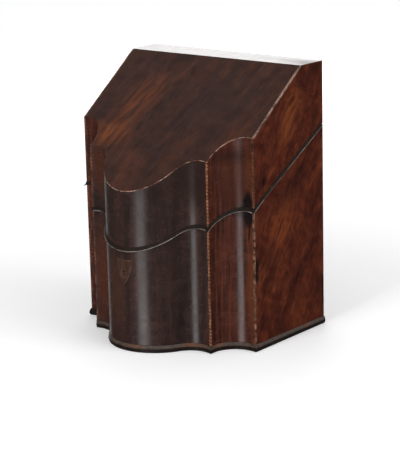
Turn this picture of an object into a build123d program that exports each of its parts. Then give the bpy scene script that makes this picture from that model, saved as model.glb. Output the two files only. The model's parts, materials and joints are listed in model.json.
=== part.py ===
"""Serpentine-fronted document box with a hinged slope lid, in millimetres, +Z up.

While a piece is made, x = 0 is the middle of the box, y = 0 its back face and z = 0 the table it stands on. The
front is towards -Y. Each piece is moved by CENTRE_SHIFT as it is written, so the origin ends up on the table under
the middle of the whole box.
"""

from build123d import *
import math
import os

# Overall form
CASE_WIDTH = 228.0
CASE_DEPTH = 194.0
CASE_HEIGHT = 286.5
TOP_STRIP_DEPTH = 38.6
SLOPE_ANGLE = 36.8
LID_BACK_HEIGHT = 69.3
PARTING_ANGLE = 29.5
LID_GAP = 0.3

# Serpentine front in plan: a bow, a hollow each side of it, an arris, and a cove out to each front corner
BOW_RADIUS = 52.0
BOW_HALF_ANGLE = 62.8
ARRIS_INSET = 35.0
ARRIS_SETBACK = 41.0
CORNER_SETBACK = 71.7
COVE_DEPTH = 12.4

# Boards
SIDE_WALL = 8.0
BACK_WALL = 8.0
FRONT_WALL = 7.5
BASE_BOARD = 8.0
LID_BOARD = 7.0
STRINGING_DEPTH = 1.6
STRINGING_REBATE = 12.8
SLOPE_STRINGING = 1.6

# Mouldings
BASE_MOULDING_HEIGHT = 8.0
BASE_MOULDING_FOOT = 1.8
BASE_MOULDING_FOOT_HEIGHT = 3.2
BASE_MOULDING_LIFT = 0.3
LID_MOULDING_HEIGHT = 6.0
LID_MOULDING_LIP = 1.3
LID_MOULDING_TOP = 0.7
MOULDING_PROJECTION = 3.0
MOULDING_HOLLOW = 0.8
MOULDING_OVERRUN = 12.0
NOSE_FLAT_COUNT = 4
HOLLOW_FLAT_COUNT = 3

# Letter dividers and the grooved runners that hold them
RUNNER_THICKNESS = 4.0
RUNNER_END_GAP = 7.9
RUNNER_DROP = 4.0
DIVIDER_THICKNESS = 4.0
DIVIDER_END_GAP = 8.0
DIVIDER_COUNT = 3
DIVIDER_RISE = 16.0
DIVIDER_SHOULDER = 22.0
DIVIDER_SWEEP = 30.0
FINGER_DIP_WIDTH = 56.0
FINGER_DIP_DEPTH = 7.0
GROOVE_DEPTH = 2.5
GROOVE_CLEARANCE = 0.1

# Butt hinges, let into the sloping edges at the back
HINGE_INSET = 52.0
HINGE_LENGTH = 34.0
LEAF_DEPTH = 6.8
LEAF_THICKNESS = 1.4
BARREL_RADIUS = 2.0
PIN_RADIUS = 0.9
PIN_CLEARANCE = 0.05
KNUCKLE_COUNT = 3
KNUCKLE_GAP = 0.2
BARREL_CLEARANCE = 0.25
AXIS_INSET = 1.0
LID_OPEN_ANGLE = 105.0
BEVEL_ANGLE = 58.0
STOP_GAP = 0.25
HINGE_SCREW_PITCH = 20.0
HINGE_SCREW_SETBACK = 4.2

# Screws and nails
SCREW_HEAD_RADIUS = 1.5
SCREW_SHANK_RADIUS = 0.8
SCREW_LENGTH = 5.2
SCREW_HEAD_DEPTH = 0.9
SCREW_SIDE_COUNT = 12
NAIL_WIDTH = 1.8
NAIL_TAPER_ANGLE = 1.8
NAIL_LENGTH = 20.0
NAIL_HEADROOM = 0.4
NAIL_FIT = 0.02
NAILS_PER_SIDE = 3
NAIL_PITCH = 34.0

# Box lock in the bow, its bolt, and the link plate on the lid
LOCK_SKIN = 6.6
LOCK_DEPTH = 10.5
LOCK_HALF_WIDTH = 19.0
LOCK_HEIGHT = 34.0
LOCK_PLATE = 1.2
SELVEDGE_THICKNESS = 1.4
SELVEDGE_HALF_LENGTH = 23.5
LOCK_SCREW_X = 21.3
LINK_SETBACK = 9.3
LINK_PLATE_DEPTH = 6.0
STAPLE_X = 8.0
STAPLE_WIDTH = 4.4
STAPLE_THICKNESS = 2.5
STAPLE_LENGTH = 7.2
STAPLE_CLEARANCE = 0.5
EYE_SIZE = 2.6
EYE_LIP = 1.1
BOLT_TRAVEL = 4.5
BOLT_REST_GAP = 0.6
PRONG_RADIUS = 0.95
PRONG_STAND_OFF = 0.1
BOLT_POST = 2.0
BOLT_THICKNESS = 3.0
BOLT_HEIGHT = 5.0
BOLT_DROP = 3.0
TALON_RADIUS = 2.0

# Shield-shaped keyhole inlay
SHIELD_WIDTH = 20.0
SHIELD_HEIGHT = 28.0
SHIELD_THICKNESS = 1.2
SHIELD_DROP = 8.4
SHIELD_SIDE_SAG = 2.6
SHIELD_TOP_SAG = 1.2
SHIELD_FIT = 0.05
KEYHOLE_RADIUS = 1.7
KEYHOLE_SLOT_WIDTH = 1.5
KEYHOLE_SLOT_LENGTH = 5.5
KEY_PIN_RADIUS = 0.8
KEY_PIN_LENGTH = 6.0

# Reach of the cutting shapes that part the walls at their mitres
SECTOR_OUT = 70.0
SECTOR_IN = 30.0


def turned(angle):
    """A direction in plan, turned from straight ahead (-Y) towards +X."""
    return Vector(math.sin(math.radians(angle)), -math.cos(math.radians(angle)))


def flipped(point):
    """A plan point moved to the other side of the middle."""
    return Vector(-point.X, point.Y)


# Plan of the front, right-hand half
HALF_WIDTH = CASE_WIDTH / 2
BOW_CENTRE = Vector(0, BOW_RADIUS - CASE_DEPTH)
TURN_DIRECTION = turned(BOW_HALF_ANGLE)
ARRIS = Vector(HALF_WIDTH - ARRIS_INSET, ARRIS_SETBACK - CASE_DEPTH)
CORNER = Vector(HALF_WIDTH, CORNER_SETBACK - CASE_DEPTH)
TURN = BOW_CENTRE + TURN_DIRECTION * BOW_RADIUS
TURN_TO_ARRIS = ARRIS - TURN
HOLLOW_RADIUS = TURN_TO_ARRIS.dot(TURN_TO_ARRIS) / (2 * TURN_TO_ARRIS.dot(TURN_DIRECTION))
HOLLOW_CENTRE = TURN + TURN_DIRECTION * HOLLOW_RADIUS
COVE_CHORD = CORNER - ARRIS
COVE_RADIUS = (COVE_CHORD.length**2 / 4 + COVE_DEPTH**2) / (2 * COVE_DEPTH)
COVE_OUTWARD = Vector(COVE_CHORD.Y, -COVE_CHORD.X).normalized()
COVE_CENTRE = (ARRIS + CORNER) / 2 + COVE_OUTWARD * (COVE_RADIUS - COVE_DEPTH)

# Mitre directions, halfway between the outward normals of the two faces that meet
ARRIS_OUT = ((HOLLOW_CENTRE - ARRIS).normalized() + (COVE_CENTRE - ARRIS).normalized()).normalized()
CORNER_OUT = ((COVE_CENTRE - CORNER).normalized() + Vector(1, 0)).normalized()

# Planes
PARTING_BACK_HEIGHT = CASE_HEIGHT - LID_BACK_HEIGHT
PARTING_TILT = math.radians(PARTING_ANGLE)
SLOPE_TILT = math.radians(SLOPE_ANGLE)
PARTING_NORMAL = Vector(0, -math.sin(PARTING_TILT), math.cos(PARTING_TILT))
PARTING = Plane(origin=(0, 0, PARTING_BACK_HEIGHT), x_dir=(1, 0, 0), z_dir=PARTING_NORMAL)
LID_RIM = PARTING.offset(LID_GAP)
SLOPE = Plane(
    origin=(0, -TOP_STRIP_DEPTH, CASE_HEIGHT),
    x_dir=(1, 0, 0),
    z_dir=(0, -math.sin(SLOPE_TILT), math.cos(SLOPE_TILT)),
)
RIDGE_MITRE = Plane(
    origin=(0, -TOP_STRIP_DEPTH, CASE_HEIGHT),
    x_dir=(1, 0, 0),
    z_dir=(0, -math.cos(SLOPE_TILT / 2), -math.sin(SLOPE_TILT / 2)),
)

# Hinges, and their axis half a gap above the case's sloping edge
HINGE_X = HALF_WIDTH - HINGE_INSET
AXIS_HEIGHT = (
    PARTING_BACK_HEIGHT
    - AXIS_INSET * math.tan(PARTING_TILT)
    + LID_GAP / 2 / math.cos(PARTING_TILT)
)
HINGE_AXIS = Vector(0, -AXIS_INSET, AXIS_HEIGHT)

# The box reaches from the moulding before the bow to the hinge barrels behind the back
FRONT_REACH = CASE_DEPTH + MOULDING_PROJECTION
BACK_REACH = BARREL_RADIUS - AXIS_INSET
CENTRE_SHIFT = Pos(0, (FRONT_REACH - BACK_REACH) / 2, 0)


def parting_height(y):
    """Height of the case's sloping edge at a distance y from the back."""
    return PARTING_BACK_HEIGHT + y * math.tan(PARTING_TILT)


def arc_about(centre, start, end):
    """The shorter arc about a centre between two plan points."""
    middle = (start - centre).normalized() + (end - centre).normalized()
    return ThreePointArc(start, centre + middle.normalized() * (start - centre).length, end)


def circles_meet(centre, radius, other_centre, other_radius, near):
    """The crossing of two circles that lies nearer to a given point."""
    apart = other_centre - centre
    along = (radius**2 - other_radius**2 + apart.length**2) / (2 * apart.length)
    across = math.sqrt(radius**2 - along**2)
    unit = apart.normalized()
    foot = centre + unit * along
    side = Vector(-unit.Y, unit.X) * across
    return min((foot + side, foot - side), key=lambda point: (point - near).length)


def front_corner(front, side):
    """Where the cove and the side meet in plan, each moved in by its wall's thickness."""
    half = HALF_WIDTH - side
    cove_radius = COVE_RADIUS + front
    return Vector(half, COVE_CENTRE.Y + math.sqrt(cove_radius**2 - (half - COVE_CENTRE.X) ** 2))


def plan_face(front=0.0, side=0.0, back=0.0):
    """The box's plan, moved in from the outer faces by three wall thicknesses."""
    bow_radius = BOW_RADIUS - front
    half = HALF_WIDTH - side
    turn = BOW_CENTRE + TURN_DIRECTION * bow_radius
    arris = circles_meet(HOLLOW_CENTRE, HOLLOW_RADIUS + front, COVE_CENTRE, COVE_RADIUS + front, ARRIS)
    corner = front_corner(front, side)
    right = [
        arc_about(HOLLOW_CENTRE, turn, arris),
        arc_about(COVE_CENTRE, arris, corner),
        Line(corner, Vector(half, -back)),
    ]
    left = [mirror(edge, about=Plane.YZ) for edge in right]
    bow = ThreePointArc(flipped(turn), BOW_CENTRE + turned(0) * bow_radius, turn)
    rear = Line(Vector(half, -back), Vector(-half, -back))
    return make_face(Curve() + right + left + [bow, rear])


def plan_polygon(points):
    """A plan face through corner points."""
    return make_face(Polyline(*points, close=True))


def mitred_sectors():
    """Plan regions for the bow, the right cove and the right side, which meet along the mitres."""
    arris_out = ARRIS + ARRIS_OUT * SECTOR_OUT
    arris_in = ARRIS - ARRIS_OUT * SECTOR_IN
    corner_out = CORNER + CORNER_OUT * SECTOR_OUT
    corner_in = CORNER - CORNER_OUT * SECTOR_IN
    behind = SECTOR_IN
    bow = plan_polygon([arris_out, arris_in, flipped(arris_in), flipped(arris_out)])
    cove = plan_polygon([arris_out, corner_out, corner_in, arris_in])
    side = plan_polygon([corner_out, corner_in, Vector(corner_in.X, behind), Vector(corner_out.X, behind)])
    return bow, cove, side


def stringing_footprint(at, outward):
    """The strip that lies in a flat rebate planed across a front edge."""
    rebate = Plane(origin=at, x_dir=outward, z_dir=(0, 0, 1))
    return plan_face() & (rebate * Rectangle(2 * STRINGING_DEPTH, STRINGING_REBATE))


def group(pieces):
    """Separate solids that share one name."""
    return Compound([piece.solid() for piece in pieces])


def both_sides(right_name, piece):
    """A right-hand piece and its mirror image, under their two names."""
    return {right_name: piece, right_name.replace("right", "left"): mirror(piece, about=Plane.YZ)}


def wall_footprints():
    """Plan faces of the boards that make the upright walls."""
    bow_sector, cove_sector, side_sector = mitred_sectors()
    ring = plan_face() - plan_face(FRONT_WALL, SIDE_WALL, BACK_WALL)
    back = Pos(0, -BACK_WALL / 2) * Rectangle(CASE_WIDTH - 2 * SIDE_WALL, BACK_WALL)
    bow = ring & bow_sector
    cove = ring & cove_sector
    side = (ring & side_sector) - back
    for at, outward in ((ARRIS, ARRIS_OUT), (CORNER, CORNER_OUT)):
        string = stringing_footprint(at, outward)
        bow -= string
        bow -= mirror(string, about=Plane.YZ)
        cove -= string
        side -= string
    return {
        "back": back,
        "bow_front": bow,
        **both_sides("right_cove", cove),
        **both_sides("right_side", side),
    }


def stringing_footprints():
    """Plan faces of the four strips up the front edges."""
    return {
        **both_sides("right_arris_stringing", stringing_footprint(ARRIS, ARRIS_OUT)),
        **both_sides("right_corner_stringing", stringing_footprint(CORNER, CORNER_OUT)),
    }


def case_upright(footprint):
    """A wall or strip of the case, from the base board up to the sloping edge."""
    standing = extrude(Pos(0, 0, BASE_BOARD) * footprint, CASE_HEIGHT)
    return split(standing, PARTING, Keep.BOTTOM)


def lid_upright(footprint, headroom):
    """A wall or strip of the lid, from its sloping rim up to headroom below the top surfaces."""
    tall = extrude(footprint, CASE_HEIGHT - headroom)
    above_rim = split(tall, LID_RIM, Keep.TOP)
    return split(above_rim, SLOPE.offset(-headroom), Keep.BOTTOM)


def flats(arc, count):
    """An arc of a moulding's section worked as a few narrow flats."""
    return Polyline(*(arc @ (step / count) for step in range(count + 1)))


def base_moulding_section():
    """Base moulding: an upright foot under a rounded nose. x is outwards from the wall."""
    foot = Vector(BASE_MOULDING_FOOT, BASE_MOULDING_FOOT_HEIGHT)
    nose = Vector(MOULDING_PROJECTION, (BASE_MOULDING_FOOT_HEIGHT + BASE_MOULDING_HEIGHT) / 2)
    top = Vector(BASE_MOULDING_FOOT / 2, BASE_MOULDING_HEIGHT)
    edges = [
        flats(ThreePointArc(foot, nose, top), NOSE_FLAT_COUNT),
        Polyline(
            top,
            Vector(0, BASE_MOULDING_HEIGHT),
            Vector(0, BASE_MOULDING_LIFT),
            Vector(BASE_MOULDING_FOOT, BASE_MOULDING_LIFT),
            foot,
        ),
    ]
    return make_face(Curve() + edges)


def lid_moulding_section():
    """Lid moulding: a hollow that flares out to a lip along the lid's rim. x is outwards from the wall."""
    lip = Vector(MOULDING_PROJECTION, LID_MOULDING_LIP)
    top = Vector(LID_MOULDING_TOP, LID_MOULDING_HEIGHT)
    inward = Vector(-(top - lip).Y, (top - lip).X).normalized()
    hollow = (lip + top) / 2 + inward * MOULDING_HOLLOW
    edges = [
        flats(ThreePointArc(lip, hollow, top), HOLLOW_FLAT_COUNT),
        Polyline(
            top,
            Vector(0, LID_MOULDING_HEIGHT),
            Vector(0, 0),
            Vector(MOULDING_PROJECTION, 0),
            lip,
        ),
    ]
    return make_face(Curve() + edges)


def moulding_run(path, section):
    """A section swept along a plan path that keeps the box on its right-hand side, seen from above."""
    outward = Vector(0, 0, 1).cross(path % 0)
    start = Plane(origin=path @ 0, x_dir=outward, z_dir=path % 0)
    return sweep(start * section, path=path)


def overrun(arcs):
    """A chain of arcs with a straight run along the tangent at each end."""
    first = arcs[0]
    last = arcs[-1]
    lead_in = Line(first @ 0 - (first % 0) * MOULDING_OVERRUN, first @ 0)
    lead_out = Line(last @ 1, last @ 1 + (last % 1) * MOULDING_OVERRUN)
    return Curve() + [lead_in, *arcs, lead_out]


def mouldings(section, back_end):
    """The five lengths of a moulding round the front and sides, mitred together, along z = 0."""
    bow_sector, cove_sector, side_sector = mitred_sectors()
    bow_path = overrun(
        [
            arc_about(HOLLOW_CENTRE, ARRIS, TURN),
            ThreePointArc(TURN, BOW_CENTRE + turned(0) * BOW_RADIUS, flipped(TURN)),
            arc_about(flipped(HOLLOW_CENTRE), flipped(TURN), flipped(ARRIS)),
        ]
    )
    cove_path = overrun([arc_about(COVE_CENTRE, CORNER, ARRIS)])
    side_path = Line(Vector(HALF_WIDTH, -back_end), CORNER - Vector(0, MOULDING_OVERRUN))
    bow = moulding_run(bow_path, section) & extrude(bow_sector, CASE_HEIGHT)
    cove = moulding_run(cove_path, section) & extrude(cove_sector, CASE_HEIGHT)
    side = moulding_run(side_path, section) & extrude(side_sector, CASE_HEIGHT)
    return {"bow": bow, **both_sides("right_cove", cove), **both_sides("right_side", side)}


def sloped(piece):
    """A piece made on the level, sheared upright so that its underside lies along the lid's rim."""
    rim_back = LID_RIM.origin.Z - LID_RIM.origin.Y * math.tan(PARTING_TILT)
    shear = Matrix(
        [
            [1, 0, 0, 0],
            [0, 1, 0, 0],
            [0, math.tan(PARTING_TILT), 1, rim_back],
        ]
    )
    return piece.transform_geometry(shear)


def on_parting(x, y):
    """A frame on the parting plane at a plan place: +Y up the plane to the back, +Z towards the lid."""
    return Plane(origin=(x, y, parting_height(y)), x_dir=(1, 0, 0), z_dir=PARTING_NORMAL)


def screw():
    """A countersunk screw with few sides, its head's face at z = 0 and its shank along -Z."""
    shank_end = RegularPolygon(SCREW_SHANK_RADIUS, SCREW_SIDE_COUNT)
    head_end = Pos(0, 0, -SCREW_HEAD_DEPTH) * shank_end
    head = loft([RegularPolygon(SCREW_HEAD_RADIUS, SCREW_SIDE_COUNT), head_end], ruled=True)
    return head + extrude(head_end, SCREW_HEAD_DEPTH - SCREW_LENGTH)


def along_x(radius, length):
    """A round bar along X."""
    return Rot(0, 90, 0) * Cylinder(radius, length)


def hinge_frame(x):
    """A frame on the hinge axis: +X along the pin, +Y up the parting plane to the back, +Z to the lid."""
    return Plane(origin=HINGE_AXIS + Vector(x, 0, 0), x_dir=(1, 0, 0), z_dir=PARTING_NORMAL)


def leaf_plate(towards):
    """The flat of a hinge leaf in the hinge frame, on the lid's side (+1) or the case's side (-1)."""
    height = towards * (LID_GAP + LEAF_THICKNESS) / 2
    return Pos(0, -LEAF_DEPTH / 2, height) * Box(HINGE_LENGTH, LEAF_DEPTH, LEAF_THICKNESS)


def leaf_screws(towards):
    """The two screws of one leaf in the hinge frame."""
    level = towards * LID_GAP / 2
    upright = Rot(0, 0, 0) if towards < 0 else Rot(180, 0, 0)
    return [
        Pos(x, -HINGE_SCREW_SETBACK, level) * upright * screw()
        for x in (-HINGE_SCREW_PITCH / 2, HINGE_SCREW_PITCH / 2)
    ]


def hinge_leaf(towards):
    """One leaf: its plate, countersunk for the screws, and its share of the knuckles."""
    pitch = HINGE_LENGTH / KNUCKLE_COUNT
    leaf = leaf_plate(towards)
    for index in range(KNUCKLE_COUNT):
        place = Pos((index - (KNUCKLE_COUNT - 1) / 2) * pitch, 0, 0)
        if (index % 2 == 0) == (towards < 0):
            leaf += place * along_x(BARREL_RADIUS, pitch - KNUCKLE_GAP)
        else:
            leaf -= place * along_x(BARREL_RADIUS + BARREL_CLEARANCE, pitch + KNUCKLE_GAP)
    leaf -= along_x(PIN_RADIUS + PIN_CLEARANCE, HINGE_LENGTH + pitch)
    for each in leaf_screws(towards):
        leaf -= each
    return leaf


def hinge_recess(towards):
    """What one leaf and the whole barrel take out of the wood, in the hinge frame."""
    barrel = along_x(BARREL_RADIUS + BARREL_CLEARANCE, HINGE_LENGTH + 2 * KNUCKLE_GAP)
    recess = leaf_plate(towards) + barrel
    for each in leaf_screws(towards):
        recess += each
    return recess


def lid_bevel():
    """The plane of the bevel on the lid's lower back edge, which lands on the case's back corner as a stop."""
    corner = Vector(0, AXIS_INSET, PARTING_BACK_HEIGHT - AXIS_HEIGHT)
    tilt = math.radians(BEVEL_ANGLE)
    opened_tilt = math.radians(BEVEL_ANGLE - LID_OPEN_ANGLE)
    opened_normal = Vector(0, -math.sin(opened_tilt), math.cos(opened_tilt))
    reach = corner.dot(opened_normal) + STOP_GAP
    normal = Vector(0, -math.sin(tilt), math.cos(tilt))
    return Plane(origin=HINGE_AXIS + normal * reach, x_dir=(1, 0, 0), z_dir=normal)


def nail_places():
    """Where the base board's nails go up into the sides and the back."""
    side_x = HALF_WIDTH - SIDE_WALL / 2
    places = []
    for index in range(NAILS_PER_SIDE):
        y = -BACK_WALL - NAIL_PITCH * (index + 0.5)
        x = (index - (NAILS_PER_SIDE - 1) / 2) * NAIL_PITCH * 2
        places += [(side_x, y), (-side_x, y), (x, -BACK_WALL / 2)]
    return places


def nail(fit):
    """A square forged nail that tapers upwards, its end punched just below the underside."""
    width = NAIL_WIDTH + 2 * fit
    return Pos(0, 0, NAIL_HEADROOM) * extrude(Rectangle(width, width), NAIL_LENGTH, taper=NAIL_TAPER_ANGLE)


def base_nails():
    """The nails from the base board up into the walls."""
    return [Pos(x, y) * nail(0) for x, y in nail_places()]


def nail_holes():
    """The holes that the nails fill, open at the underside."""
    width = NAIL_WIDTH + 2 * NAIL_FIT
    hole = nail(NAIL_FIT) + Box(width, width, 2 * NAIL_HEADROOM)
    return [Pos(x, y) * hole for x, y in nail_places()]


# The runners stop short of the coves, and the dividers share their length
RUNNER_LENGTH = -front_corner(FRONT_WALL, SIDE_WALL).Y - BACK_WALL - RUNNER_END_GAP
DIVIDER_PITCH = (RUNNER_LENGTH - DIVIDER_END_GAP) / DIVIDER_COUNT


def divider_place(index):
    """Distance of a letter divider's middle from the back face."""
    return -BACK_WALL - DIVIDER_PITCH * (index + 1)


def letter_divider(index):
    """A board that stands in the runners, its top edge swept up to a finger dip."""
    place = divider_place(index)
    rim = parting_height(place) - RUNNER_DROP
    half = HALF_WIDTH - SIDE_WALL - RUNNER_THICKNESS + GROOVE_DEPTH - GROOVE_CLEARANCE
    top = rim + DIVIDER_RISE
    shoulder = half - DIVIDER_SHOULDER
    crest = shoulder - DIVIDER_SWEEP
    middle = Vector((shoulder + crest) / 2, (rim + top) / 2)
    foot_sweep = TangentArc(Vector(shoulder, rim), middle, tangent=(-1, 0))
    crest_sweep = TangentArc(middle, Vector(crest, top), tangent=foot_sweep % 1)
    dip = Vector(FINGER_DIP_WIDTH / 2, top)
    right = [
        Line(Vector(0, BASE_BOARD), Vector(half, BASE_BOARD)),
        Line(Vector(half, BASE_BOARD), Vector(half, rim)),
        Line(Vector(half, rim), Vector(shoulder, rim)),
        foot_sweep,
        crest_sweep,
        Line(Vector(crest, top), dip),
    ]
    left = [mirror(edge, about=Plane.YZ) for edge in right]
    finger = ThreePointArc(dip, Vector(0, top - FINGER_DIP_DEPTH), flipped(dip))
    outline = make_face(Curve() + right + left + [finger])
    return Pos(0, place + DIVIDER_THICKNESS / 2, 0) * Rot(90, 0, 0) * extrude(outline, DIVIDER_THICKNESS)


def divider_runner():
    """The right-hand board with a groove for each divider."""
    x = HALF_WIDTH - SIDE_WALL - RUNNER_THICKNESS / 2
    footprint = Pos(x, -BACK_WALL - RUNNER_LENGTH / 2) * Rectangle(RUNNER_THICKNESS, RUNNER_LENGTH)
    groove_x = x - RUNNER_THICKNESS / 2 + GROOVE_DEPTH / 2
    for index in range(DIVIDER_COUNT):
        groove = Rectangle(GROOVE_DEPTH, DIVIDER_THICKNESS + 2 * GROOVE_CLEARANCE)
        footprint -= Pos(groove_x, divider_place(index)) * groove
    standing = extrude(Pos(0, 0, BASE_BOARD) * footprint, CASE_HEIGHT)
    return split(standing, PARTING.offset(-RUNNER_DROP), Keep.BOTTOM)


# Lock places, worked out from the bow's crown
LOCK_FRONT = LOCK_SKIN - CASE_DEPTH
LOCK_MIDDLE = LOCK_FRONT + LOCK_DEPTH / 2
LOCK_BOTTOM = parting_height(LOCK_FRONT) - LOCK_HEIGHT
LINK_Y = LINK_SETBACK - CASE_DEPTH
SHIELD_TOP = parting_height(-CASE_DEPTH) - SHIELD_DROP
KEYHOLE_HEIGHT = SHIELD_TOP - SHIELD_HEIGHT / 2
EYE_DEPTH = STAPLE_LENGTH - EYE_LIP - EYE_SIZE / 2
EYE = Vector(0, LINK_Y, parting_height(LINK_Y)) - PARTING_NORMAL * EYE_DEPTH
PRONG_LENGTH = BOLT_TRAVEL + PRONG_STAND_OFF


def front_prism(outline, depth):
    """A profile drawn in X and Z, run back from just before the bow's crown."""
    return Pos(0, depth - CASE_DEPTH, 0) * Rot(90, 0, 0) * extrude(outline, depth + MOULDING_PROJECTION)


def keyhole(depth):
    """The keyhole's cut through everything from the crown to a depth."""
    slot_middle = KEYHOLE_HEIGHT - KEYHOLE_SLOT_LENGTH / 2
    round_part = Pos(0, KEYHOLE_HEIGHT) * Circle(KEYHOLE_RADIUS)
    slot = Pos(0, slot_middle) * Rectangle(KEYHOLE_SLOT_WIDTH, KEYHOLE_SLOT_LENGTH)
    return front_prism(round_part + slot, depth)


def shield_outline(grown):
    """The shield's outline in X and Z: two hollows along the top and two full sides down to a tip."""
    half = SHIELD_WIDTH / 2 + grown
    top = SHIELD_TOP + grown
    tip = Vector(0, SHIELD_TOP - SHIELD_HEIGHT - grown)
    shoulder = Vector(half, top)
    peak = Vector(0, top)
    side_way = (tip - shoulder).normalized()
    side_middle = (shoulder + tip) / 2 + Vector(-side_way.Y, side_way.X) * SHIELD_SIDE_SAG
    top_middle = Vector(half / 2, top - SHIELD_TOP_SAG)
    right = [
        ThreePointArc(tip, side_middle, shoulder),
        ThreePointArc(shoulder, top_middle, peak),
    ]
    left = [mirror(edge, about=Plane.YZ) for edge in right]
    return make_face(Curve() + right + left)


def shield_inlay():
    """The shield let into the bow's face, pierced by the keyhole."""
    skin = extrude(plan_face() - plan_face(front=SHIELD_THICKNESS), CASE_HEIGHT)
    return (skin & front_prism(shield_outline(0), LOCK_SKIN)) - keyhole(LOCK_SKIN)


def shield_pocket():
    """The pocket for the shield in the bow's face."""
    skin = extrude(plan_face(front=-1) - plan_face(front=SHIELD_THICKNESS), CASE_HEIGHT)
    return skin & front_prism(shield_outline(SHIELD_FIT), LOCK_SKIN)


def lock_body():
    """The outside of the lock: its box and the selvedge that closes it, flush with the sloping edge."""
    height = CASE_HEIGHT
    box = Pos(0, LOCK_MIDDLE, LOCK_BOTTOM + height / 2) * Box(2 * LOCK_HALF_WIDTH, LOCK_DEPTH, height)
    selvedge = Pos(0, LOCK_MIDDLE, LOCK_BOTTOM + height / 2) * Box(2 * SELVEDGE_HALF_LENGTH, LOCK_DEPTH, height)
    under = split(box, PARTING.offset(-SELVEDGE_THICKNESS), Keep.BOTTOM)
    plate = split(split(selvedge, PARTING, Keep.BOTTOM), PARTING.offset(-SELVEDGE_THICKNESS), Keep.TOP)
    return under + plate


def lock_screws():
    """The two screws through the selvedge's ends."""
    return [on_parting(x, LINK_Y) * screw() for x in (-LOCK_SCREW_X, LOCK_SCREW_X)]


def staple_slot(x):
    """The way through the selvedge for one staple."""
    size = 2 * STAPLE_CLEARANCE
    depth = 2 * STAPLE_LENGTH
    return on_parting(x, LINK_Y) * Box(STAPLE_THICKNESS + size, STAPLE_WIDTH + size, depth)


def lock_case():
    """The hollow lock, with its staple slots, keyhole and key pin."""
    height = CASE_HEIGHT
    room = Pos(0, LOCK_MIDDLE, LOCK_BOTTOM + LOCK_PLATE + height / 2) * Box(
        2 * (LOCK_HALF_WIDTH - LOCK_PLATE), LOCK_DEPTH - 2 * LOCK_PLATE, height
    )
    room = split(room, PARTING.offset(-SELVEDGE_THICKNESS), Keep.BOTTOM)
    case = lock_body() - room - keyhole(LOCK_SKIN + 2 * LOCK_PLATE)
    for x in (-STAPLE_X, STAPLE_X):
        case -= staple_slot(x)
    pin_back = LOCK_FRONT + LOCK_DEPTH - LOCK_PLATE / 2
    pin = Pos(0, pin_back - KEY_PIN_LENGTH / 2, KEYHOLE_HEIGHT) * Rot(90, 0, 0)
    case += pin * Cylinder(KEY_PIN_RADIUS, KEY_PIN_LENGTH)
    for each in lock_screws():
        case -= each
    return case


def lock_bolt():
    """The sliding bolt: a bar with two posts, each with a prong that enters one staple's eye."""
    bar_top = EYE.Z - STAPLE_LENGTH / 2 - BOLT_DROP
    tips = [x - STAPLE_THICKNESS / 2 - BOLT_REST_GAP for x in (-STAPLE_X, STAPLE_X)]
    start = tips[0] - PRONG_LENGTH - BOLT_POST
    end = tips[1] - PRONG_LENGTH + BOLT_POST
    bar = Pos((start + end) / 2, EYE.Y, bar_top - BOLT_HEIGHT / 2) * Box(end - start, BOLT_THICKNESS, BOLT_HEIGHT)
    talon = Pos((start + end) / 2, EYE.Y, bar_top - BOLT_HEIGHT) * Rot(90, 0, 0)
    bolt = bar - talon * Cylinder(TALON_RADIUS, 2 * BOLT_THICKNESS)
    for tip in tips:
        post_height = EYE.Z + PRONG_RADIUS - bar_top
        post_x = tip - PRONG_LENGTH - BOLT_POST / 2
        bolt += Pos(post_x, EYE.Y, bar_top + post_height / 2) * Box(BOLT_POST, 2 * PRONG_RADIUS, post_height)
        bolt += Pos(tip - PRONG_LENGTH / 2, EYE.Y, EYE.Z) * along_x(PRONG_RADIUS, PRONG_LENGTH)
    return bolt


def link_screws():
    """The two screws that hold the link plate in the lid's rim."""
    return [
        on_parting(x, LINK_Y).offset(LID_GAP) * Rot(180, 0, 0) * screw()
        for x in (-LOCK_SCREW_X, LOCK_SCREW_X)
    ]


def link_flat():
    """The flat of the link plate, let into the lid's rim."""
    frame = on_parting(0, LINK_Y).offset(LID_GAP + SELVEDGE_THICKNESS / 2)
    return frame * Box(2 * SELVEDGE_HALF_LENGTH, LINK_PLATE_DEPTH, SELVEDGE_THICKNESS)


def link_plate():
    """The plate on the lid with its two pierced staples."""
    plate = link_flat()
    reach = STAPLE_LENGTH + LID_GAP + SELVEDGE_THICKNESS / 2
    for x in (-STAPLE_X, STAPLE_X):
        frame = on_parting(x, LINK_Y)
        plate += frame * Pos(0, 0, reach / 2 - STAPLE_LENGTH) * Box(STAPLE_THICKNESS, STAPLE_WIDTH, reach)
        plate -= frame * Pos(0, 0, -EYE_DEPTH) * Box(2 * STAPLE_THICKNESS, EYE_SIZE, EYE_SIZE)
    for each in link_screws():
        plate -= each
    return plate


def case_pieces():
    """The walls, base and strips of the case."""
    pieces = {f"case_{name}": case_upright(face) for name, face in wall_footprints().items()}
    strips = {f"case_{name}": case_upright(face) for name, face in stringing_footprints().items()}
    base = extrude(plan_face(), BASE_BOARD)
    for x in (-HINGE_X, HINGE_X):
        pieces["case_back"] -= hinge_frame(x) * hinge_recess(-1)
    pieces["case_bow_front"] -= lock_body()
    pieces["case_bow_front"] -= shield_pocket()
    pieces["case_bow_front"] -= keyhole(2 * FRONT_WALL)
    for each in lock_screws():
        pieces["case_bow_front"] -= each
    for hole in nail_holes():
        base -= hole
        for name in ("case_back", "case_left_side", "case_right_side"):
            pieces[name] -= hole
    return {"base_board": base, **pieces, **strips}


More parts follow.
